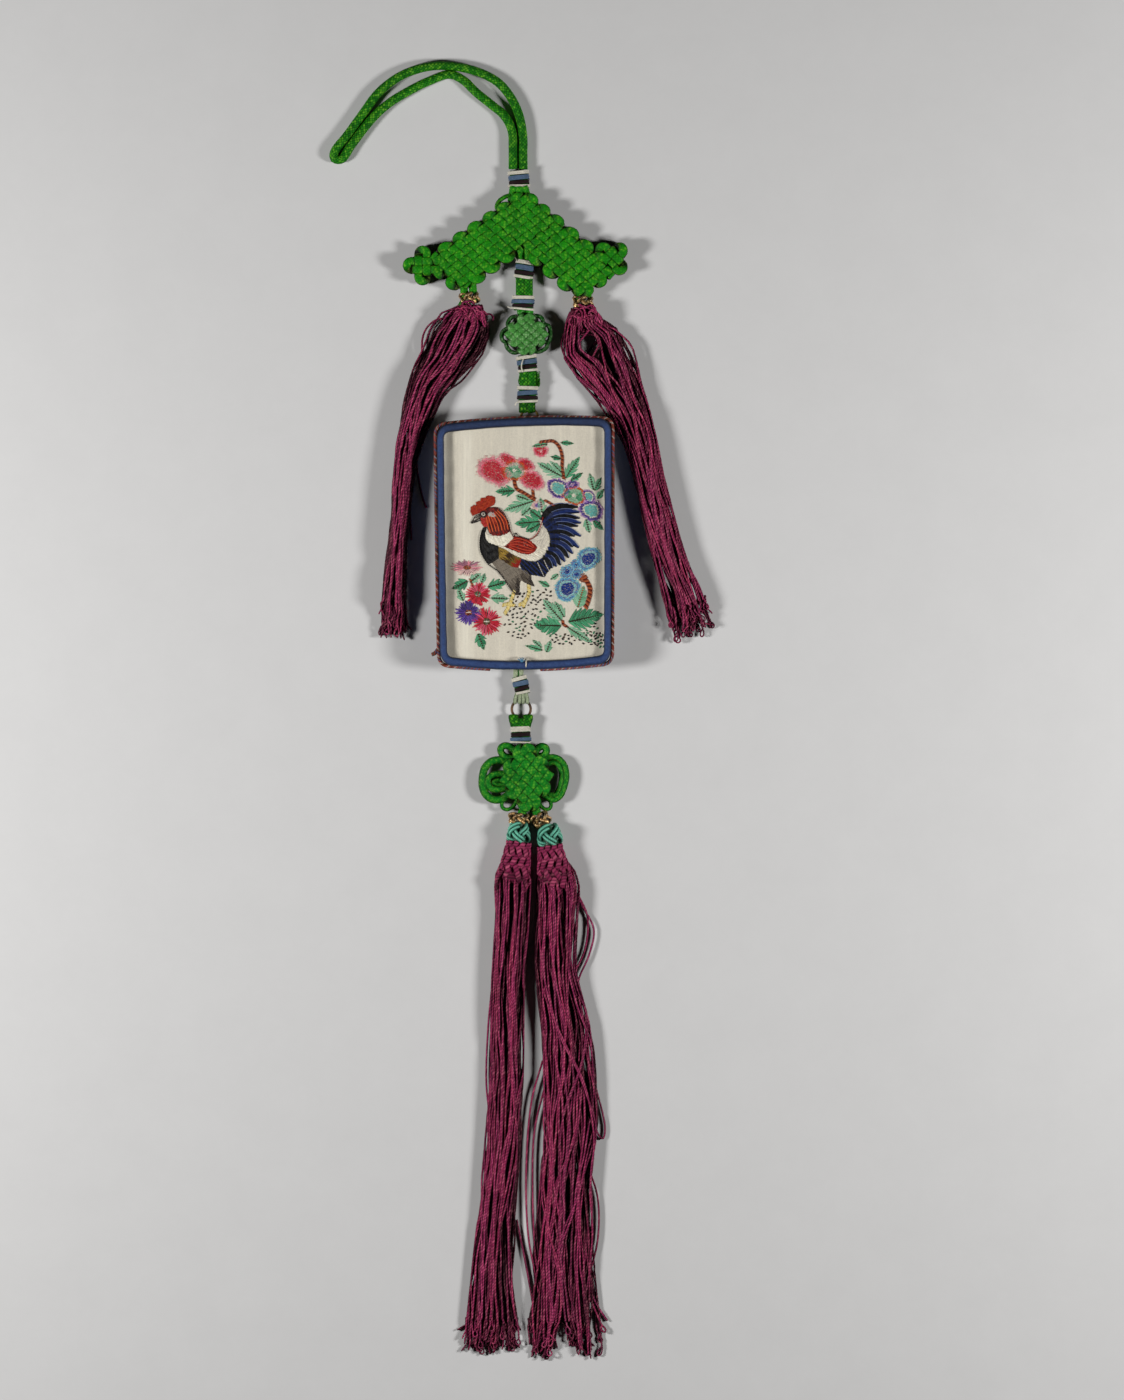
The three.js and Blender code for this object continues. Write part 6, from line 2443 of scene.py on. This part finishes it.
    leaves = (
        Leaf((12.2, 33.9), (16.7, 33.6), 1.1, DARK_LEAF), Leaf((12.4, 28.4), (8.9, 29.2), 1.2, DARK_LEAF),
        Leaf((8.0, 33.4), (2.6, 32.6), 1.3, MID_LEAF), Leaf((13.3, 22.1), (4.3, 27.1), 2.4, LIGHT_LEAF),
        Leaf((13.4, 23.0), (8.6, 27.7), 1.6, LIGHT_LEAF), Leaf((13.7, 21.5), (18.7, 29.1), 2.2, MID_LEAF),
        Leaf((15.6, 20.8), (19.8, 23.7), 1.4, DARK_LEAF), Leaf((-3.0, 17.6), (-9.8, 17.3), 2.2, DARK_LEAF),
        Leaf((1.5, 14.4), (-3.0, 16.0), 1.9, LIGHT_LEAF),
        Leaf((3.5, 14.2), (-7.0, 10.8), 2.7, LIGHT_LEAF, Silk.MAROON),
        Leaf((2.3, 11.9), (-1.0, 9.1), 1.7, LIGHT_LEAF), Leaf((6.0, 9.9), (5.4, 15.3), 2.0, LIGHT_LEAF),
        Leaf((5.9, 8.0), (1.5, 11.4), 2.0, DARK_LEAF),
        Leaf((5.6, 7.2), (-3.3, 6.4), 2.8, DARK_LEAF, Silk.MAROON),
        Leaf((5.5, 6.6), (0.5, 3.6), 2.0, DARK_LEAF), Leaf((23.5, 17.6), (22.1, 23.5), 1.8, LIGHT_LEAF),
        Leaf((23.6, 17.4), (26.0, 22.1), 1.7, MID_LEAF), Leaf((24.7, 14.7), (26.9, 18.2), 1.5, MID_LEAF),
        Leaf((20.9, 8.2), (22.1, 3.2), 1.8, LIGHT_LEAF), Leaf((23.2, 7.6), (26.8, 4.3), 1.6, DARK_LEAF),
        Leaf((18.0, -22.4), (20.2, -14.6), 3.0, LIGHT_LEAF, Silk.RUST),
        Leaf((14.4, -27.0), (27.0, -24.3), 4.0, DARK_LEAF),
        Leaf((12.9, -28.2), (3.1, -28.0), 3.6, DARK_LEAF),
        Leaf((13.0, -26.9), (6.3, -19.2), 2.6, LIGHT_LEAF, Silk.MAROON),
        Leaf((13.7, -25.6), (10.3, -20.0), 1.9, LIGHT_LEAF),
        Leaf((14.0, -28.3), (22.8, -33.9), 1.9, LIGHT_LEAF, Silk.MAROON),
        Leaf((6.4, -36.6), (0.3, -34.9), 1.3, MID_LEAF), Leaf((6.0, -35.8), (2.8, -33.0), 1.3, LIGHT_LEAF),
        Leaf((7.4, -37.4), (8.9, -33.2), 1.7, LIGHT_LEAF),
        Leaf((11.6, -10.6), (8.9, -12.6), 1.2, LIGHT_LEAF), Leaf((8.6, -15.0), (4.8, -13.0), 1.3, MID_LEAF),
        Leaf((-19.0, -12.9), (-24.4, -15.7), 2.5, DARK_LEAF),
        Leaf((-18.6, -13.6), (-14.8, -10.4), 1.9, LIGHT_LEAF),
        Leaf((-14.6, -13.8), (-13.4, -10.4), 1.4, LIGHT_LEAF),
        Leaf((-12.7, -15.2), (-6.0, -13.4), 2.4, DARK_LEAF),
        Leaf((-11.6, -18.8), (-5.3, -19.0), 2.1, LIGHT_LEAF),
        Leaf((-20.6, -20.0), (-22.6, -15.6), 1.8, LIGHT_LEAF),
        Leaf((-15.8, -30.6), (-13.7, -36.4), 2.3, DARK_LEAF),
    )

    stems = (
        (
            ((5.2, 34.0), (7.4, 34.3), (9.7, 34.4), (11.6, 32.8), (12.8, 29.4), (12.8, 25.2), (13.4, 21.6)),
            1.0,
        ),
        (((-3.6, 22.0), (-2.7, 18.4), (-0.5, 17.0), (2.3, 15.3), (3.5, 14.7)), 1.1),
        (((2.8, 17.8), (3.2, 14.2)), 0.9), (((6.9, 14.4), (10.2, 12.5)), 0.8),
        (((20.0, -11.6), (21.4, -13.6), (22.3, -15.7), (21.8, -19.2), (20.7, -22.2)), 1.4),
        (((13.0, -26.4), (13.2, -27.6), (14.4, -28.6)), 0.9), (((-18.4, -12.4), (-17.4, -15.0)), 0.6),
    )

    asters = (
        Aster(
            -19.4, -8.5, 5.1, 0.54, dyed("mauve pink blush blush pink mauve"), dyed("rust brown"),
            Silk.PLUM,
        ),
        Aster(
            -15.8, -17.5, 4.1, 0.94, dyed("rose crimson scarlet crimson crimson rose"), dyed("fern brick"),
            Silk.MAROON,
        ),
        Aster(
            -19.0, -23.8, 4.25, 0.92, dyed("violet violet purple purple purple violet"),
            dyed("rust maroon"), Silk.MIDNIGHT,
        ),
        Aster(
            -12.8, -26.8, 4.9, 0.94, dyed("rose crimson crimson rose scarlet crimson"), dyed("umber olive"),
            Silk.MAROON,
        ),
    )

    feet = (
        ((-3.4, -16.4), (-4.2, -18.9), (-5.0, -21.2), (-6.7, -24.2)), ((-4.8, -20.6), (-7.3, -21.2)),
        ((-4.9, -21.0), (-3.4, -21.4)), ((1.5, -14.4), (1.5, -17.2), (0.3, -19.8), (-1.9, -21.3)),
        ((0.5, -19.4), (-0.4, -21.8)),
    )

    grounds = (
        (
            (
                (-5.6, -17.4), (9.1, -15.7), (9.1, -19.9), (5.6, -23.7), (4.9, -25.9), (4.2, -27.3),
                (0.7, -32.2), (-3.2, -32.9), (-7.7, -28.7), (-6.3, -25.2), (-4.9, -20.9),
            ),
            84,
        ),
        (
            (
                (7.7, -31.5), (15.0, -30.6), (19.0, -31.6), (23.9, -27.4), (26.6, -31.0), (26.9, -35.7),
                (23.2, -35.0), (17.9, -34.3), (11.2, -35.0),
            ),
            46,
        ),
        (((22.4, -31.6), (26.9, -31.0), (26.9, -35.6), (22.8, -35.0)), 17),
    )

    def __init__(self, case: Case) -> None:
        """Starts on a case's front.

        Args:
            case: the case.
        """
        self.case = case
        self.chance = default_rng(SEED + 11)
        self.work = ThreadWork("needlework")

    def build(self) -> list[Object]:
        """Stitches the flowers, then the bird.

        Returns:
            The two pieces of needlework.
        """
        self.work = ThreadWork("needlework_flowers")
        for outline, count in self.grounds:
            self.seed_ground(outline, count)
        for leaf in self.leaves:
            self.stitch_leaf(leaf)
        for points, wide in self.stems:
            self.stitch_stem(points, wide, dyed("brown rust maroon"))
        for petal_shape in self.petals:
            self.knot_petal(petal_shape)
        for aster in self.asters:
            self.stitch_aster(aster)
        silk = self.case.finishes.floss
        flowers = settle(self.work.build(silk), Slot.SATIN)
        self.work = ThreadWork("needlework_bird")
        for points in self.feet:
            self.stitch_stem(points, 1.05, dyed("straw straw yellow"))
        self.fill_patch(self.tail_root)
        for feather in self.tail:
            self.stitch_feather(feather)
        for patch in self.bird:
            self.fill_patch(patch)
        self.stitch_face()
        bird = settle(self.work.build(silk), Slot.SATIN)
        return [flowers, bird]

    def lay(
        self, starts: Array, ends: Array, silks: Sequence[Silk], level: float, wide: float = thread,
    ) -> None:
        """Lays stitches on the satin.

        Args:
            starts: first ends.
            ends: last ends.
            silks: thread of each stitch.
            level: height over the satin.
            wide: width of a thread.
        """
        many = len(starts)
        shade = self.chance.uniform(0.86, 1.14, (many, 1))
        tints = np.array([silk.colour for silk in silks]) * shade
        middle = (starts + ends) / 2
        lift = self.chance.uniform(0, 0.05, many)
        base = self.case.height(middle[:, 0], middle[:, 1]) + 0.03 + level + lift
        self.work.stitches(starts, ends, tints, wide * self.chance.uniform(0.85, 1.2, many), base)

    def fill_patch(self, patch: Patch) -> None:
        """Fills an outline with rows of stitches.

        Args:
            patch: the area and its threads.
        """
        angle = math.radians(patch.angle)
        turn = np.array(((math.cos(angle), -math.sin(angle)), (math.sin(angle), math.cos(angle))))
        corners = np.array(patch.outline) @ turn
        low, high = corners.min(axis=0), corners.max(axis=0)
        starts, ends, silks = [], [], []
        for row, y in enumerate(np.arange(low[1] + patch.pitch / 2, high[1], patch.pitch)):
            for left, right in self.crossings(corners, y):
                cuts = np.arange(left - self.chance.uniform(0, patch.long), right, patch.long)[1:]
                marks = np.concatenate(([left], cuts, [right]))
                for begin, end in zip(marks[:-1], marks[1:]):
                    starts.append((begin - self.overlap, y))
                    ends.append((end + self.overlap + self.chance.uniform(-0.1, 0.2), y))
                    place = ((begin + end) / 2 - low[0]) / (high[0] - low[0])
                    silks.append(self.pick(patch, row, place))
        self.lay(np.array(starts) @ turn.T, np.array(ends) @ turn.T, silks, patch.level)

    def crossings(self, corners: Array, y: float) -> list[tuple[float, float]]:
        """Stretches of one row that lie inside an outline.

        Args:
            corners: corners of the outline.
            y: place of the row.

        Returns:
            Start and end of each stretch.
        """
        after = np.roll(corners, -1, axis=0)
        hits = (corners[:, 1] > y) != (after[:, 1] > y)
        share = (y - corners[hits, 1]) / (after[hits, 1] - corners[hits, 1])
        places = np.sort(corners[hits, 0] + share * (after[hits, 0] - corners[hits, 0]))
        return list(zip(places[::2], places[1::2]))

    def pick(self, patch: Patch, row: int, along: float) -> Silk:
        """Chooses the thread of one stitch.

        Args:
            patch: the patch.
            row: number of the row.
            along: share of the way along the rows.

        Returns:
            The thread.
        """
        many = len(patch.threads)
        if patch.shade is Shade.STRIPED:
            return patch.threads[row // patch.stripe % many]
        if patch.shade is Shade.MIXED:
            return patch.threads[self.chance.integers(many)]
        place = along * many + self.chance.normal(0, 0.35)
        return patch.threads[int(np.clip(place, 0, many - 1))]

    def stitch_leaf(self, leaf: Leaf) -> None:
        """Stitches both halves of a leaf, then its vein.

        Args:
            leaf: the leaf.
        """
        foot, tip = np.array(leaf.foot), np.array(leaf.tip)
        long = np.linalg.norm(tip - foot)
        run = (tip - foot) / long
        side = np.array((-run[1], run[0]))
        share = np.arange(0.04, 0.97, self.thread * 0.55 / long)
        reach = np.minimum(share + 0.2, 1.0)
        half = 0.84 * leaf.wide * np.sin(np.pi * np.clip(reach, 0, 1) ** 0.85) ** 0.85
        teeth = (share * long / self.tooth) % 1.0
        depth = min(0.46, 1.1 / leaf.wide)
        half = half * (1.16 - depth + depth * teeth) * self.chance.uniform(0.94, 1.06, len(half))
        for sign, silk in zip((-1, 1), leaf.threads):
            starts = foot + share[:, None] * long * run
            ends = foot + reach[:, None] * long * run + sign * half[:, None] * side
            other = leaf.threads[0 if sign > 0 else 1]
            silks = [silk if self.chance.uniform() < 0.72 else other for _ in share]
            self.lay(starts, ends, silks, 0.02)
        marks = np.arange(0.06, 0.86, 0.8 / long)
        starts = foot + marks[:, None] * long * run
        self.lay(starts, starts + run * 0.6, [leaf.vein] * len(marks), 0.2, 0.42)
        if leaf.wide > self.broad_leaf:
            rib = Silk.UMBER if leaf.vein is Silk.UMBER else Silk.FERN
            for sign in (-1, 1):
                ends = starts + (run + sign * side) * 0.3 * leaf.wide * np.sin(np.pi * marks[:, None])
                self.lay(starts, ends, [rib] * len(marks), 0.1, 0.2)

    def stitch_stem(self, points: Sequence[Point], wide: float, silks: Sequence[Silk]) -> None:
        """Stitches a stem in short slanting stitches.

        Args:
            points: places along the stem.
            wide: width of the stem.
            silks: threads that take turns.
        """
        path = flowing(points, self.thread * 0.75)
        ahead = unit(np.gradient(path, axis=0))
        side = np.column_stack((-ahead[:, 1], ahead[:, 0])) * wide * 0.66
        picks = [silks[(i // 2) % len(silks)] for i in range(len(path))]
        self.lay(path - side - ahead * 0.35, path + side + ahead * 0.35, picks, 0.1)

    def knot_petal(self, shape: Petal) -> None:
        """Fills an oval with small knots.

        Args:
            shape: the oval and its bands.
        """
        pitch = self.knot_pitch
        rows = np.arange(-shape.wide * 1.2, shape.wide * 1.2, pitch * 0.87)
        places = []
        for k, y in enumerate(rows):
            x = np.arange(-shape.long * 1.2, shape.long * 1.2, pitch) + (k % 2) * pitch / 2
            places.append(np.column_stack((x, np.full_like(x, y))))
        plan = np.vstack(places)
        plan += self.chance.normal(0, 0.045, plan.shape)
        lobes = np.arctan2(plan[:, 1], plan[:, 0])
        wave = 1 + 0.05 * np.sin(3 * lobes + shape.x) + 0.03 * np.sin(7 * lobes + shape.y)
        share = np.hypot(plan[:, 0] / shape.long, plan[:, 1] / shape.wide) / wave
        share += self.chance.normal(0, 0.016, len(share))
        inside = share < shape.bands[-1][0]
        thin = (share > 1.0) & (self.chance.uniform(0, 1, len(share)) < (share - 1.0) * 3.5)
        plan, share = plan[inside & ~thin], share[inside & ~thin]
        limits = np.array([limit for limit, _ in shape.bands])
        colours = np.array([silk.colour for _, silk in shape.bands])
        tints = colours[np.minimum(np.searchsorted(limits, share), len(limits) - 1)]
        if shape.quarters:
            level = np.abs(plan[:, 0]) / shape.long > np.abs(plan[:, 1]) / shape.wide
            first, second = (silk.colour for silk in shape.quarters)
            halves = np.where(level[:, None], first, second)
            tints = np.where((np.abs(share - 0.5) < 0.32)[:, None], halves, tints)
        tints = tints * self.chance.uniform(0.8, 1.2, (len(plan), 1))
        angle = math.radians(shape.turn)
        turn = np.array(((math.cos(angle), math.sin(angle)), (-math.sin(angle), math.cos(angle))))
        centres = plan @ turn + np.array((shape.x, shape.y))
        base = self.case.height(centres[:, 0], centres[:, 1]) + 0.05
        self.work.knots(centres, tints, self.chance.uniform(0.2, 0.27, len(plan)), base)

    def stitch_aster(self, aster: Aster) -> None:
        """Stitches the rays of a flower, then knots its heart.

        Args:
            aster: the flower.
        """
        many = int(self.rays * aster.squash**0.8)
        centre = np.array((aster.x, aster.y))
        turns = np.arange(many) * 2 * np.pi / many + self.chance.normal(0, 0.04, many)
        for angle in turns:
            sector = int((np.pi / 2 - angle) / (2 * np.pi) % 1 * len(aster.threads))
            sector += self.chance.choice((0, 0, 0, 1))
            silk = aster.threads[sector % len(aster.threads)]
            reach = aster.reach * self.chance.uniform(0.84, 1.16)
            spread = angle + np.array((-0.03, 0.03, 0.08))
            inner = np.column_stack((np.cos(spread), aster.squash * np.sin(spread))) * aster.reach * 0.2
            near = angle + (spread - angle) * 0.45
            out = reach * np.array((1.0, 0.92, 0.8))[:, None]
            outer = np.column_stack((np.cos(near), aster.squash * np.sin(near))) * out
            self.lay(centre + inner, centre + outer, [silk, silk, aster.dark], 0.06, 0.3)
        count = self.heart_knots
        spots = self.chance.uniform(0, 2 * np.pi, count)
        out = np.sqrt(self.chance.uniform(0, 1, count)) * aster.reach * self.heart_share
        places = centre + np.column_stack((np.cos(spots), aster.squash * np.sin(spots))) * out[:, None]
        tints = np.array([aster.heart[self.chance.integers(len(aster.heart))].colour for _ in spots])
        base = self.case.height(places[:, 0], places[:, 1]) + 0.2
        self.work.knots(places, tints, np.full(count, 0.2), base)

    def stitch_feather(self, feather: Feather) -> None:
        """Stitches a feather in strands that follow its curve.

        Args:
            feather: the feather.
        """
        share = np.linspace(0.0, 1.0, self.feather_steps)[:, None]
        root, bend, tip = (np.array(place) for place in (feather.root, feather.bend, feather.tip))
        path = (1 - share) ** 2 * root + 2 * share * (1 - share) * bend + share**2 * tip
        ahead = unit(np.gradient(path, axis=0))
        side = np.column_stack((-ahead[:, 1], ahead[:, 0]))
        width = 1.7 * feather.wide * np.array((1 - 0.25 * share - 0.6 * share**5))[:, 0]
        strands = max(int(1.3 * feather.wide / (self.thread * 0.48)), 3)
        for k in range(strands):
            place = (k + 0.5) / strands - 0.5
            line = path + side * (place * width)[:, None]
            silk = feather.threads[0] if place > -0.2 else feather.threads[-1]
            starts, ends = line[:-4:2], line[4::2]
            self.lay(starts, ends + ahead[4::2] * 0.15, [silk] * len(starts), 0.05)
        edge = path + side * (0.54 * width)[:, None]
        self.lay(edge[4:-2], edge[6:], [Silk.SLATE] * (len(edge) - 6), 0.2, 0.18)

    def seed_ground(self, outline: Sequence[Point], count: int) -> None:
        """Scatters short dark stitches over an area.

        Args:
            outline: edge of the area.
            count: number of stitches tried.
        """
        corners = np.array(outline)
        low, high = corners.min(axis=0), corners.max(axis=0)
        placed: list[Array] = []
        while len(placed) < count:
            spot = self.chance.uniform(low, high)
            inside = any(left < spot[0] < right for left, right in self.crossings(corners, spot[1]))
            free = all(np.linalg.norm(spot - other) > self.seed_gap for other in placed)
            if inside and (free or self.chance.uniform() < 0.01):
                placed.append(spot)
        spots = np.array(placed)
        lean = np.radians(self.chance.normal(25, 40, count))
        half = np.column_stack((np.cos(lean), np.sin(lean))) * self.chance.uniform(0.38, 0.62, (count, 1))
        silks = [self.seed_silks[self.chance.integers(len(self.seed_silks))] for _ in spots]
        self.lay(spots - half, spots + half, silks, 0.02, self.seed_wide)

    def stitch_face(self) -> None:
        """Outlines the beak, rings the eye and draws the line of the back."""
        angles = np.arange(12) * np.pi / 6
        ring = np.column_stack((np.cos(angles), np.sin(angles)))
        for radius, silk, level in (
            (1.12, Silk.BLACK_BROWN, 0.36), (0.62, Silk.CREAM, 0.46), (0.26, Silk.BLACK_BROWN, 0.56),
        ):
            outline = tuple(map(tuple, ring * radius + np.array(self.eye)))
            self.fill_patch(Patch(outline, 20, (silk,), long=3.0, level=level, pitch=0.2))
        for upper, lower, count, silk in (
            (
                ((-13.0, 9.0), (-12.4, 6.0), (-11.6, 3.2)), ((-9.3, 11.0), (-6.4, 8.0), (-5.5, 4.2)), 7,
                Silk.CORAL,
            ),
            (
                ((-5.0, 0.2), (-2.6, 1.4), (1.6, 0.2), (3.4, -1.5)),
                ((-5.4, -1.3), (-3.2, -2.4), (0.0, -3.5), (2.6, -3.1)), 5, Silk.RED_LINE,
            ),
        ):
            for share in np.linspace(0.0, 1.0, count):
                path = flowing(np.array(upper) * (1 - share) + np.array(lower) * share, 0.8)
                self.lay(path[:-2], path[2:], [silk] * (len(path) - 2), 0.28, 0.34)
        lines = (
            (((-18.1, 6.6), (-17.2, 8.2), (-16.2, 9.3), (-15.2, 9.5)), Silk.SOOT),
            (((-18.1, 6.6), (-16.6, 7.6), (-14.9, 8.2)), Silk.SOOT),
            (((-18.1, 6.5), (-16.4, 7.0), (-15.0, 7.6)), Silk.CHARCOAL),
            (
                (
                    (-14.3, 4.4), (-15.1, 1.0), (-14.9, -2.6), (-13.6, -5.6), (-12.0, -7.5), (-9.0, -9.7),
                    (-6.8, -12.5),
                ),
                Silk.BLACK,
            ),
            (((-6.8, -12.5), (-4.8, -15.6), (-2.6, -17.8)), Silk.SOOT),
            (
                (
                    (-12.8, 11.6), (-9.4, 11.9), (-7.3, 10.5), (-5.9, 8.2), (-5.1, 5.9), (-4.6, 3.6),
                    (-3.6, 1.8),
                ),
                Silk.MAROON,
            ),
            (((-3.6, 1.9), (-2.9, 3.4), (-2.2, 2.4), (-0.6, 1.8), (1.6, 1.0)), Silk.BLACK),
            (((1.6, 1.0), (3.2, 1.8), (4.6, 3.4), (5.7, 6.2), (6.3, 8.7)), Silk.BRICK),
            (((-2.2, -12.0), (-2.4, -14.6), (-2.2, -17.4)), Silk.SOOT),
            (((4.4, -6.6), (5.4, -8.8), (6.6, -11.4)), Silk.STONE),
            (((6.6, -5.8), (7.4, -7.6), (8.4, -9.6)), Silk.STONE),
            (((-1.4, -10.6), (0.4, -12.4), (2.6, -14.2)), Silk.DUN),
        )
        for points, silk in lines:
            path = flowing(points, 0.8)
            self.lay(
                path[:-1], path[1:] + (path[1:] - path[:-1]) * 0.15, [silk] * (len(path) - 1), 0.3, 0.36,
            )


# Stage


@dataclass
class Stage:
    """Plain pale floor, two soft lights and the camera overhead."""

    finishes: Finishes
    aim: Point = (12.75, -53.4)
    frame_high: float = 476.0
    lens: float = 300.0
    sensor: float = 36.0
    floor_half: float = 1.6
    floor_level: float = -0.0001
    light_aim: float = -70.0
    light_reach: float = 0.66
    light_height: float = 0.46
    light_size: float = 0.17
    light_power: tuple[float, float] = (5.6, 5.2)
    ambient: float = 0.004
    backdrop: float = 0.55

    def build(self) -> None:
        """Sets the floor, the lights, the world and the camera."""
        bm = bmesh.new()
        bmesh.ops.create_grid(bm, x_segments=1, y_segments=1, size=self.floor_half)
        bmesh.ops.translate(bm, verts=bm.verts[:], vec=UP * self.floor_level)
        from_bmesh("floor", bm, self.finishes.paper)
        for side, power in zip((-1, 1), self.light_power):
            data = bpy.data.lights.new("soft_light", "AREA")
            data.energy, data.shape, data.size = power, "DISK", self.light_size
            lamp = bpy.data.objects.new("soft_light", data)
            place = Vector(
                (self.aim[0] * MM + side * self.light_reach, self.light_aim * MM, self.light_height)
            )
            towards = Vector((self.aim[0] * MM, self.light_aim * MM, 0.0)) - place
            aimed = towards.to_track_quat("-Z", "Y").to_matrix().to_4x4()
            lamp.matrix_world = Matrix.Translation(place) @ aimed
            bpy.context.collection.objects.link(lamp)
        self.build_world()
        self.build_camera()

    def build_world(self) -> None:
        """Fills the shadows a little, with a pale backdrop behind the floor."""
        world = bpy.data.worlds.new("studio")
        world.use_nodes = True
        work = Tree(world.node_tree)
        seen = work.node("LightPath").outputs["Is Camera Ray"]
        background = world.node_tree.nodes["Background"]
        background.inputs["Color"].default_value = (1.0, 1.0, 1.0, 1.0)
        work.feed(background.inputs["Strength"], work.between(seen, self.ambient, self.backdrop))
        bpy.context.scene.world = world
        bpy.context.scene.view_settings.view_transform = "Standard"

    def build_camera(self) -> None:
        """Looks straight down at the object."""
        data = bpy.data.cameras.new("overhead")
        data.sensor_fit, data.sensor_height, data.lens = "VERTICAL", self.sensor, self.lens
        data.clip_end = 50.0
        camera = bpy.data.objects.new("overhead", data)
        camera.location = Vector((*self.aim, self.frame_high * self.lens / self.sensor)) * MM
        bpy.context.collection.objects.link(camera)
        bpy.context.scene.camera = camera


def main() -> None:
    """Builds the object from its cords to its case."""
    logging.basicConfig(level=logging.INFO, format="%(name)s %(message)s")
    finishes = Finishes()
    Stage(finishes).build()
    HangingLoop(finishes).build()
    Bindings(finishes).build()
    FlatCords(finishes).build()
    build_rings(finishes)
    RoofKnot(finishes).build()
    SmallKnot(finishes).build()
    LowerKnot(finishes).build()
    build_ring_knots(finishes)
    build_tassels(finishes)
    Case(finishes, CaseOutline()).build()


if __name__ == "__main__":
    main()
